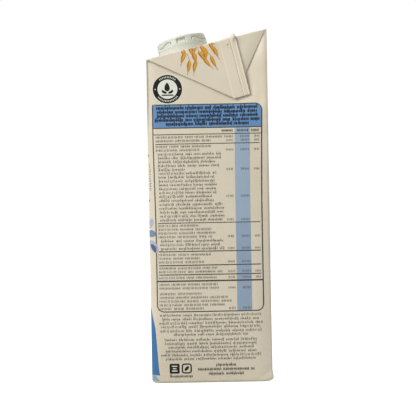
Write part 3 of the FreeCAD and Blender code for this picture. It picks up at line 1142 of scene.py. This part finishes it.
@dataclass
class Printing:
    """Collects the print ink by ink, from every face."""

    skins: dict[Ink, list[Skin]] = field(default_factory=dict)

    def on(self, surface: Surface) -> Face:
        """A face on which to print."""
        return Face(surface, self.skins)

    def build(self) -> None:
        """Makes one piece of each ink that was used."""
        for ink, skins in self.skins.items():
            piece(f"print_{ink.name.lower()}", skins, ink.value)


@dataclass(frozen=True)
class TextBlock:
    """Some rows of the table: where the first row is, where each ends, and which have amounts."""

    top: float
    ends: tuple[float, ...]
    caps: bool = False
    amounts: tuple[int, ...] = (-1,)
    columns: int = 3


@dataclass
class TableSide:
    """Print of the shown side: seal, food table, small print, marks and the edge of the front art."""

    face: Face
    left: float = -31.75
    right: float = 31.1
    top: float = 164.9
    foot: float = 42.35
    header_foot: float = 151.05
    heads_foot: float = 147.2
    column: tuple[float, float] = (15.5, 24.3)
    column_ends: tuple[float, float, float] = (14.35, 23.7, 29.6)
    line_width: float = 0.62
    frame_round: float = 4.0
    caps_pitch: float = 2.2
    lower_pitch: float = 2.29
    header_top_row: float = 162.85
    header_pitch: float = 2.39
    heads_row: float = 149.1
    heavy_rule: float = 60.45
    blocks: tuple[TextBlock, ...] = (
        TextBlock(145.6, (8.3, 1.5), True, (0, 1)),
        TextBlock(140.05, (1.7, -5.2), True),
        TextBlock(135.45, (7.3, 7.5, 4.0, 6.0, -14.1)),
        TextBlock(124.1, (4.3, 3.3, 3.5, 4.5, 4.2, 4.4, 1.7), columns=2),
        TextBlock(107.95, (2.6, 7.7, 8.6, 8.2, 8.9, 7.6), columns=2),
        TextBlock(93.2, (-6.8, 0.8, 3.0, 1.2), True),
        TextBlock(84.1, (7.6, 5.8, 8.5)),
        TextBlock(76.05, (0.3, -6.4, -4.0), True, columns=2),
        TextBlock(68.1, (3.9, 6.8), True),
        TextBlock(62.4, (3.3,), True),
        TextBlock(58.4, (3.9, 4.6), True, columns=2),
        TextBlock(52.9, (-5.5, 10.1, 12.1, 7.9, -4.6), True, columns=2),
    )
    rules: tuple[Pair, ...] = ((141.55, 0.46), (94.8, 0.48), (77.95, 0.58), (69.75, 0.6), (64.2, 0.58))
    header_rows: tuple[Pair, ...] = (
        (-29.7, 28.6), (-29.3, 28.2), (-29.6, 28.9), (-30.8, 30.0), (-24.5, 23.7))
    heads: tuple[Pair, ...] = ((7.8, 14.4), (16.7, 23.6), (25.0, 29.5))
    notes: tuple[tuple[float, float, float], ...] = (
        (40.15, -30.5, 29.3), (37.8, -29.2, 28.0), (35.5, -31.1, 30.3), (33.3, -29.8, 28.6),
        (30.9, -30.5, 29.4), (28.7, -22.6, 21.3), (25.6, -27.8, 26.4), (23.3, -27.7, 26.4),
        (21.1, -26.0, 24.7), (18.8, -27.7, 26.3), (16.5, -30.1, 28.8), (14.25, -27.2, 25.9))
    seal_place: Pair = (-22.9, 174.3)
    seal_radius: float = 8.45
    tick_seed: int = 11
    mark_places: tuple[Pair, Pair] = ((-22.3, 8.65), (-15.1, 8.65))

    def build(self) -> None:
        """Lays all of it."""
        self.table()
        self.rows()
        self.small_print()
        self.seal(*self.seal_place)
        self.marks()
        self.front_edge()

    def table(self) -> None:
        """Header, column, frame and rules of the food table."""
        face, w, r = self.face, self.line_width, self.frame_round
        left, right, top, foot = self.left, self.right, self.top, self.foot
        column, split = self.column, self.rules[1][0]
        face.panel(Ink.HEADER, (left, self.header_foot, right, top), (0, 0, r, 0))
        face.panel(Ink.COLUMN, (column[0], split, column[1], self.header_foot - 0.05))
        # Below the second rule the column takes the darker blue of painted shade.
        face.panel(Ink.COLUMN_PAINTED_SHADE, (column[0], foot, column[1], split))

        def corner(x: float, z: float, start: float) -> Array:
            """Quarter circle about a centre, clockwise from a starting angle in degrees."""
            angle = math.radians(start) - quarter(9)
            return np.stack([x + r * np.cos(angle), z + r * np.sin(angle)], -1)

        path = np.concatenate([
            [(left, top)], np.linspace((left + 2, top), (right - r, top), 30), corner(right - r, top - r, 90),
            np.linspace((right, top - r - 1), (right, foot + r + 1), 60), corner(right - r, foot + r, 0),
            np.linspace((right - r - 1, foot), (left + r + 1, foot), 30), corner(left + r, foot + r, -90),
            np.linspace((left, foot + r + 1), (left, top - 1), 60)])
        face.line(Ink.DARK, path, np.where(path[:, 0] > right - 0.1, 1.18 * w, w), closed=True)
        full = ((self.header_foot, w), (self.heads_foot, w * 0.75), (self.heavy_rule, w * 1.45))
        for height, width in full:
            face.straight(Ink.DARK, (left, height), (right, height), width)
        for height, width in self.rules:
            face.straight(Ink.DARK, (left + 1.3, height), (right - 1.1, height), width)

    def rows(self) -> None:
        """Rows of the header and of the blocks, with an amount in each column where a block has one."""
        ticks = self.face.ticks
        for k, (start, end) in enumerate(self.header_rows):
            ticks(self.header_top_row - self.header_pitch * k, start, end, Style.HEADING, Ink.HEADING, seed=k)
        for start, end in self.heads:
            ticks(self.heads_row, start, end, Style.BOLD_CAPS)
        for block in self.blocks:
            pitch, indent, style = ((self.caps_pitch, 1.25, Style.CAPS) if block.caps
                                    else (self.lower_pitch, 2.4, Style.SMALL))
            rows = [block.top - pitch * k for k in range(len(block.ends))]
            for k, (row, end) in enumerate(zip(rows, block.ends)):
                ticks(row, self.left + indent, end, style, seed=k)
            for which in block.amounts:
                # The first row of a block has a longer amount in the first column.
                lengths = (5, 5, 3) if which == 0 else (4, 5, 3)
                for k, end in enumerate(self.column_ends[: block.columns]):
                    ticks(rows[which], end - lengths[k], end, Style.CAPS, seed=k + 5)

    def small_print(self) -> None:
        """Two paragraphs of notes and four short bold rows under the table."""
        for row, start, end in self.notes:
            self.face.ticks(row, start, end)
        for row, start, end, style in ((10.5, 2.2, 14.2, Style.BOLD), (8.0, -8.75, 25.0, Style.BOLD_CAPS),
                                       (5.3, -2.4, 18.8, Style.BOLD), (4.0, -25.3, -11.7, Style.BOLD)):
            self.face.ticks(row, start, end, style)

    def seal(self, x: float, z: float) -> None:
        """Round seal: dark ring with light dashes, pale disc with a plain drop and two leaves.

        Args:
            x: place of its centre across.
            z: height of its centre.
        """
        face, ring = self.face, 7.1
        face.disc(Ink.PALE, (x, z), 8.9, lift=FIELD_LIFT)
        face.disc(Ink.SEAL, (x, z), self.seal_radius, 5.75)
        face.disc(Ink.PALE, (x, z), 5.75, lift=0.045)
        for turn in np.radians(np.concatenate([np.arange(52, 132, 7.6), np.arange(222, 322, 7.6)])):
            ahead = np.array([-math.sin(turn), math.cos(turn)]) * 0.2
            middle = np.array((x, z)) + ring * np.array([math.cos(turn), math.sin(turn)])
            face.line(Ink.PALE, np.stack([middle - ahead, middle + ahead]), 0.95, lift=0.075)
        for side in (1, -1):
            face.disc(Ink.PALE, (x + side * ring, z), 0.36, lift=0.075, points=16)
        face.blade(Ink.SEAL, (x - 0.2, z + 3.9), -90, 5.2, 3.1, ends=(0.8, 0.45), lift=STROKE_LIFT)
        face.blade(Ink.SEAL, (x - 0.4, z - 2.4), 148, 3.4, 1.5, bend=0.3, lift=STROKE_LIFT)
        face.blade(Ink.SEAL, (x + 0.4, z - 2.4), 32, 3.4, 1.5, bend=-0.3, lift=STROKE_LIFT)
        face.straight(Ink.SEAL, (x - 3.4, z - 3.6), (x + 3.4, z - 3.6), 0.7, lift=STROKE_LIFT)

    def marks(self) -> None:
        """Two small square marks at the foot: a filled one with three bars, an open one with a leaf."""
        face, half = self.face, 2.95
        x, z = self.mark_places[0]
        face.panel(Ink.SEAL, (x - half, z - half, x + half, z + half), (0.7,) * 4, lift=LINE_LIFT, step=0.5)
        for up, reach in ((1.4, 1.6), (0.0, 1.1), (-1.4, 1.6)):
            face.straight(Ink.PALE, (x - reach, z + up), (x + reach, z + up), 0.6, lift=0.08)
        (x, z), angle = self.mark_places[1], circle(64)[0]
        size = 2.6 / (np.abs(np.cos(angle)) ** 5 + np.abs(np.sin(angle)) ** 5) ** 0.2
        outline = np.stack([x + size * np.cos(angle), z + size * np.sin(angle)], -1)
        face.line(Ink.SEAL, outline, 0.8, closed=True)
        face.blade(Ink.SEAL, (x - 1.2, z - 1.2), 45, 3.4, 1.7)

    def front_edge(self) -> None:
        """What reaches round the front upright: small specks, upright ticks and petals."""
        face = self.face
        face.disc(Ink.RED, (-35.7, 135.0), 0.85, points=24)
        face.disc(Ink.GREEN, (-35.5, 108.4), 0.6, points=24)
        draw, place = np.random.default_rng(self.tick_seed), -34.9
        rows = 113.6 + np.cumsum(draw.uniform(0.8, 1.3, 16))
        face.boxes(Ink.DARK, place, rows, place + draw.uniform(0.7, 1.3, 16), rows + 0.3)
        face.blade(Ink.LILAC, (-36.6, 91.9), 68, 6.4, 3.2, bend=-0.5)
        face.blade(Ink.SKY, (-37.2, 88.2), 4, 5.3, 4.2, bend=0.5)
        face.blade(Ink.LILAC, (-37.2, 84.9), -52, 9.6, 4.6, bend=0.7, lift=LINE_LIFT)
        face.blade(Ink.NAVY, (-34.9, 82.6), -62, 5.6, 2.3, bend=0.3, lift=0.08)


@dataclass
class OatSpray:
    """A hanging spray of oats on any face: curved stalks, each with a husked grain."""

    face: Face

    def grain(self, root: Pair, heading: float, length: float, width: float, bend: float = 0.0) -> None:
        """One grain: amber husk, gold face off to one side, straw streak and a thin awn.

        Args:
            root: where it hangs from.
            heading: degrees from the across direction.
            length: root to tip, without the awn.
            width: at its widest.
            bend: bow of its centre line.
        """
        lay, husk, turn = self.face.blade, (0.5, 1.0), math.radians(heading)
        lay(Ink.AMBER, root, heading, length, width, bend, husk, 0.05)
        lay(Ink.GOLD, root, heading, length * 0.97, width * 0.9, bend, husk, 0.065, (-0.5, 1.0))
        lay(Ink.STRAW, root, heading, length * 0.8, width * 0.7, bend, husk, 0.08, (0.1, 0.6))
        tip = (root[0] + length * 0.9 * math.cos(turn), root[1] + length * 0.9 * math.sin(turn))
        lay(Ink.AMBER, tip, heading + 4, length * 0.3, 0.32, lift=0.05)

    def stalk(self, start: Pair, end: Pair, bow: float, width: float) -> None:
        """A stalk between two points that bows sideways as 4 s (1 - s).

        Args:
            start: where it grows from.
            end: where its grain hangs.
            bow: bow at its middle.
            width: width of the line.
        """
        s, a, b = np.linspace(0, 1, 14)[:, None], np.array(start), np.array(end)
        side = np.array([-(b - a)[1], (b - a)[0]]) / max(math.dist(start, end), 1e-6)
        self.face.line(Ink.AMBER, a + (b - a) * s + side * bow * 4 * s * (1 - s), width, lift=0.045)


@dataclass
class Artwork:
    """Generic art of the other faces, made of waves, petals, oats, rules and meaningless ticks."""

    pack: Pack
    printing: Printing
    wave_foot: float = 4.8
    row_pitch: float = 2.5
    petal_ring: float = 5.0
    bar_seed: int = 3
    oat_seed: int = 4

    @property
    def face(self) -> Face:
        """The sleeve as a printed face."""
        return self.printing.on(self.pack.sleeve)

    def on_ear(self, across: Array, up: Array, lift: float) -> Array:
        """The top sheet as a surface: up is the height over the side edge, so an ear is below 0."""
        return self.pack.fold(self.pack.edge_across(across) - up, across, lift + 0.02)

    def on_fin(self, across: Array, up: Array, lift: float) -> Array:
        """The outer face of the hanging fin: across runs from its fold, up as on the ear."""
        return self.on_ear(self.pack.fin_fold + across, up, lift + self.pack.fin_ply * 0.72)

    def on_far_ear(self, across: Array, up: Array, lift: float) -> Array:
        """The same as on_ear on the other side, mirrored across the pack."""
        return self.on_ear(across, up, lift) * np.array([-1.0, 1.0, 1.0])

    @property
    def front(self) -> float:
        """Way round to the middle of the front panel."""
        return -(self.pack.half_depth + self.pack.half_width + (math.pi / 2 - 2) * self.pack.corner)

    def build(self) -> None:
        """Lays the art of every face."""
        self.wave()
        self.front_panel()
        self.rear_panel()
        self.far_side()
        self.ear_spray(self.on_ear)
        self.ear_spray(self.on_far_ear)
        # One brown speck in the film, on the fin.
        self.printing.on(self.on_fin).disc(Ink.RED, (3.4, -3.6), 0.34, lift=0.04, points=16)

    def flower(self, x: float, z: float, petals: Sequence[Ink], count: int, size: Pair, bend: float,
               lift: float, first: float = 0.0, longer: float = 0.0) -> None:
        """Lays a ring of petals, whose roots stand off its centre by the petal ring.

        Args:
            x: place of the centre across.
            z: height of the centre.
            petals: inks, in turn.
            count: how many petals.
            size: length and width of a petal.
            bend: bow of a petal.
            lift: height of the ink.
            first: heading of the first petal, in degrees.
            longer: how much longer every second petal is.
        """
        ring = self.petal_ring
        for k in range(count):
            heading = k * 360 / count + first
            turn = math.radians(heading)
            root = (x + ring * math.cos(turn), z + ring * math.sin(turn))
            self.face.blade(petals[k % len(petals)], root, heading, size[0] + longer * (k % 2), size[1],
                            bend=bend, lift=lift)

    def wave(self) -> None:
        """Blue wave over the foot of the front panel, whose point reaches round to the shown side."""
        face, foot, far = self.face, self.wave_foot, self.front * 2
        edge = 35.9
        right = np.linspace(-30.95, -edge, 60)
        # Height of the wave's edge where it comes round the upright: steep at first, then a point.
        reach = np.clip((-right - 30.9) / 5.0, 0, 1)
        face.between(Ink.WAVE, right, foot, foot + 41.0 * (0.6 * reach + 0.4 * smooth(reach, 0.08, 0.5)))
        across = np.linspace(-edge, far + edge, 150)
        turn = math.pi * (across - across[0]) / (across[-1] - across[0])
        crest = 45.8 + 20.0 * np.sin(turn) + 7.0 * np.sin(2.6 * turn)
        face.between(Ink.WAVE, across, foot, crest)
        second = np.minimum(crest - 14 - 9 * np.sin(1.7 * turn), crest - 1.5)
        face.between(Ink.SKY, across, foot, second, lift=LINE_LIFT)
        low = np.linspace(-31.0, far + 31.0, 160)
        face.between(Ink.MIST, low, 1.3, 1.0 + 3.7 * np.clip((-low - 31.0) / 2.6, 0, 1), rows=6)

    def front_panel(self) -> None:
        """Flower of petals in the middle, an oat spray below it, and a plain ruled label."""
        face, mid = self.face, self.front
        petals = (Ink.LILAC, Ink.SKY, Ink.NAVY)
        self.flower(mid, 112, petals, 12, (15, 5.6), 0.8, LINE_LIFT, first=8, longer=2)
        face.disc(Ink.HEADER, (mid, 112), 4.6, lift=STROKE_LIFT)
        face.panel(Ink.HEADER, (mid - 22, 152, mid + 22, 155), (1.5, 1.5, 1.5, 1.5))
        face.panel(Ink.COLUMN, (mid - 15, 146.5, mid + 15, 148.5), (1, 1, 1, 1))
        spray = OatSpray(face)
        for k in range(9):
            off = 5 * k - 20
            tip = (mid + off, 84 - 5 * math.sin(k * 0.9))
            spray.stalk((mid + off * 0.25, 95), tip, 1.5 if off < 0 else -1.5, 0.5)
            spray.grain(tip, -90 + 14 * math.sin(k * 2.1), 9.5, 3.3)

    def rear_panel(self) -> None:
        """Heading and paragraphs of ticks beside the seam, a strip of bars, petals and the wave."""
        face, mid, pitch = self.face, -self.front, self.row_pitch
        left, right, column = mid - 31, mid + 2.5, mid + 14
        face.panel(Ink.HEADER, (left, 176, right, 188), (1, 1, 3, 1))
        for k in range(4):
            end = mid - 1 - 3 * (k % 3)
            face.ticks(185.2 - pitch * k, mid - 28.5, end, Style.HEADING, Ink.HEADING, seed=k)
        for block, (top, rows) in enumerate(((171.0, 13), (134.0, 10), (106.0, 12))):
            face.straight(Ink.DARK, (left, top + 2.6), (right, top + 2.6), 0.4)
            for k in range(rows):
                end = mid + 2 - (14 if k == rows - 1 else (k * 3 + block) % 4)
                face.ticks(top - pitch * k, mid - 30.5, end, Style.SMALL if k else Style.CAPS, seed=k + block)
        for k in range(22):
            short = 9 if k in (7, 14, 21) else k % 3
            face.ticks(185.4 - pitch * k, column, mid + 31 - short, seed=k + 9)
        # A strip of upright bars of uneven width, with no figures.
        draw = np.random.default_rng(self.bar_seed)
        widths = draw.choice([0.35, 0.6, 0.9], 22)
        starts = column + np.append(0, np.cumsum(widths + draw.choice([0.35, 0.6], 22))[:-1])
        face.panel(Ink.PALE, (mid + 12.5, 84, mid + 34, 118), (0.5, 0.5, 0.5, 0.5))
        keep = starts + widths < mid + 32.6
        face.boxes(Ink.SEAL, starts[keep], 87.0, (starts + widths)[keep], 115.0)
        across = np.linspace(mid - 33.5, mid + 36, 90)
        rise = smooth(across, mid - 35.0, mid - 16.0)
        crest, second = 29 + 9 * np.sin((across - mid) / 15.0), 13 + 5 * np.sin((across - mid) / 11.0 + 1)
        face.between(Ink.WAVE, across, self.wave_foot, 4.9 + rise * crest)
        face.between(Ink.SKY, across, self.wave_foot, 4.85 + 0.98 * rise * second, lift=LINE_LIFT)
        for k in range(5):
            root = (mid - 26 + 7 * k, 54 + 2 * (k % 2))
            face.blade((Ink.LILAC, Ink.SKY)[k % 2], root, 70 + 8 * k, 11, 4.4, bend=0.6)

    def far_side(self) -> None:
        """A heading bar, paragraphs of ticks and a large flower on the side that faces -X."""
        face, mid, pitch = self.face, 2 * -self.front, self.row_pitch
        face.panel(Ink.HEADER, (mid - 31, 150, mid + 31, 158), (0, 0, 3, 3))
        for k in range(2):
            start, end = mid - 27 + 3 * k, mid + 27 - 4 * k
            face.ticks(155.4 - 2.8 * k, start, end, Style.HEADING, Ink.HEADING, seed=k)
        for k in range(17):
            short = (k * 5) % 7 + (18 if k in (7, 16) else 0)
            face.ticks(145.6 - pitch * k, mid - 29, mid + 29 - short, seed=k)
        self.flower(mid, 78, (Ink.SKY, Ink.LILAC), 10, (15, 6), 1.0, BLADE_LIFT)
        face.disc(Ink.NAVY, (mid, 78), 4.2, lift=STROKE_LIFT)
        for k in range(9):
            short = (k * 7) % 5 + (15 if k == 8 else 0)
            face.ticks(46 - pitch * k, mid - 27, mid + 27 - short, seed=k + 3)
        across = np.linspace(mid - 33, mid + 33, 80)
        face.between(Ink.WAVE, across, self.wave_foot, 15 + 4 * np.sin((across - mid) / 12.0))

    def ear_spray(self, surface: Surface) -> None:
        """Oats that hang over the side edge from the top panel on to the ear.

        Tiers of grains are staggered by half a place; each grain fans out from the middle of
        the spray, leans by chance, and hangs from a thin stalk.

        Args:
            surface: the ear.
        """
        spray = OatSpray(self.printing.on(surface))
        chance = np.random.default_rng(self.oat_seed).random
        spray.stalk((12.0, 8.5), (26.0, 5.5), 0.8, 0.5)
        spray.stalk((26.0, 5.5), (41.5, -1.5), 1.2, 0.42)
        for count, first, last, level in ((5, 20.5, 38.5, 2.6), (5, 22.0, 40.5, -2.6), (4, 24.5, 38.0, -7.4)):
            for k in range(count):
                x = first + (last - first) * (k + 0.5 * chance()) / (count - 0.5)
                root = (x, level + 3.0 * (chance() - 0.5))
                lean = -92 + 2.6 * (x - 30.5) + 44 * (chance() - 0.5)
                spray.grain(root, lean, 6.4 + 2.2 * chance(), 2.1 + 0.7 * chance(), 0.9 * (chance() - 0.5))
                start = (x - 3.5 + 5 * chance(), min(root[1] + 4.5, 5.0))
                spray.stalk(start, root, 0.9 * (chance() - 0.5), 0.24)


# --- The studio --------------------------------------------------------------------------------


def shown_ray(tree: bpy.types.NodeTree) -> bpy.types.NodeSocket:
    """Adds the switch that tells the camera's own view from light that falls on the pack.

    Args:
        tree: node tree to add to.

    Returns:
        A value of 1 for what the camera sees, straight, in gloss or through glass, and 0 elsewhere.
    """
    path, seen = add_node(tree, "ShaderNodeLightPath"), None
    for ray in ("Is Camera Ray", "Is Glossy Ray", "Is Transmission Ray"):
        seen = path.outputs[ray] if seen is None else add_node(
            tree, "ShaderNodeMath", {0: seen, 1: path.outputs[ray]}, operation="MAXIMUM").outputs[0]
    return seen


@dataclass
class Studio:
    """Pale floor, soft light from the upper left of the shown side, and the camera."""

    pack: Pack
    camera_distance: float = 560.0
    camera_height: float = 103.4
    camera_y: float = -0.8
    view_width: float = 246.4
    roll: float = math.radians(1.05)
    sensor: float = 36.0
    fill: float = 0.45
    floor_reach: float = 9.0
    floor_glow: float = 0.86

    def build(self) -> None:
        """Makes the floor, the world, the lights (places in metres, powers in watts) and the camera."""
        self.floor()
        self.world()
        self.area("key_softbox", (0.56, -0.66, 0.76), (0.0, 0.0, 0.12), 0.5, 9.8)
        self.area("top_softbox", (-0.25, 0.35, 0.95), (0.0, 0.0, 0.15), 0.7, 1.4)
        self.area("rear_softbox", (-0.98, 0.58, 0.40), (0.0, 0.0, 0.10), 0.6, 5.5, mirrored=False)
        self.camera()

    def floor(self) -> None:
        """A wide pale floor that reads white and keeps the shadow of the pack."""
        mesh, r = bpy.data.meshes.new("studio_floor"), self.floor_reach
        mesh.from_pydata([(-r, -r, 0), (r, -r, 0), (r, r, 0), (-r, r, 0)], [], [(0, 1, 2, 3)])
        floor = bpy.data.objects.new("studio_floor", mesh)
        bpy.context.scene.collection.objects.link(floor)
        made = bpy.data.materials.new("painted_studio_floor")
        tree = empty_tree(made)
        paint = add_node(tree, "ShaderNodeBsdfDiffuse", {"Color": linear("#b8b8b8")})
        glow = add_node(tree, "ShaderNodeEmission", {"Strength": self.floor_glow})
        both = add_node(tree, "ShaderNodeAddShader", {0: paint.outputs[0], 1: glow.outputs[0]})
        pick = add_node(tree, "ShaderNodeMixShader", {
            0: shown_ray(tree), 1: paint.outputs[0], 2: both.outputs[0]})
        add_node(tree, "ShaderNodeOutputMaterial", {"Surface": pick.outputs[0]})
        mesh.materials.append(made)

    def world(self) -> None:
        """White to the camera and in reflections, a plain even fill for everything else."""
        world = bpy.data.worlds.new("studio")
        bpy.context.scene.world = world
        tree = empty_tree(world)
        fill, white = (add_node(tree, "ShaderNodeBackground", {"Color": (1, 1, 1, 1), "Strength": strength})
                       for strength in (self.fill, 1.0))
        pick = add_node(tree, "ShaderNodeMixShader", {
            0: shown_ray(tree), 1: fill.outputs[0], 2: white.outputs[0]})
        add_node(tree, "ShaderNodeOutputWorld", {"Surface": pick.outputs[0]})

    def area(self, name: str, place: Place, target: Place, size: float, power: float,
             mirrored: bool = True) -> None:
        """Adds a square softbox that faces the pack.

        Args:
            name: name of the light.
            place: where it hangs, in metres.
            target: where it is aimed, in metres.
            size: length of its side, in metres.
            power: power in watts.
            mirrored: whether gloss shows it.
        """
        light = bpy.data.lights.new(name, "AREA")
        light.shape, light.size, light.energy = "SQUARE", size, power
        made = bpy.data.objects.new(name, light)
        bpy.context.scene.collection.objects.link(made)
        made.visible_glossy = mirrored
        aim = Vector(target) - Vector(place)
        made.matrix_world = Matrix.Translation(place) @ aim.to_track_quat("-Z", "Y").to_matrix().to_4x4()

    def camera(self) -> None:
        """Level camera square to the +X side, rolled a little, its width of view set at that side."""
        data = bpy.data.cameras.new("camera")
        data.sensor_width = self.sensor
        data.lens = self.sensor * self.camera_distance / self.view_width
        data.clip_start, data.clip_end = 0.01, 50.0
        made = bpy.data.objects.new("camera", data)
        bpy.context.scene.collection.objects.link(made)
        s, c = math.sin(self.roll), math.cos(self.roll)
        place = ((self.pack.half_width + self.camera_distance) * MM, self.camera_y * MM,
                 self.camera_height * MM)
        made.matrix_world = Matrix((
            (0, 0, 1, place[0]), (c, s, 0, place[1]), (-s, c, 0, place[2]), (0, 0, 0, 1)))
        bpy.context.scene.camera = made


def main() -> None:
    """Builds the carton and its studio."""
    logging.basicConfig(level=logging.INFO, format="%(name)s: %(message)s")
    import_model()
    bpy.context.scene.view_settings.view_transform = "Standard"
    pack, printing = Pack.from_frame(), Printing()
    Board(pack).build()
    Closure(pack).build()
    TableSide(printing.on(pack.sleeve)).build()
    Artwork(pack, printing).build()
    printing.build()
    Studio(pack).build()
    bpy.context.view_layer.update()


if __name__ == "__main__":
    main()
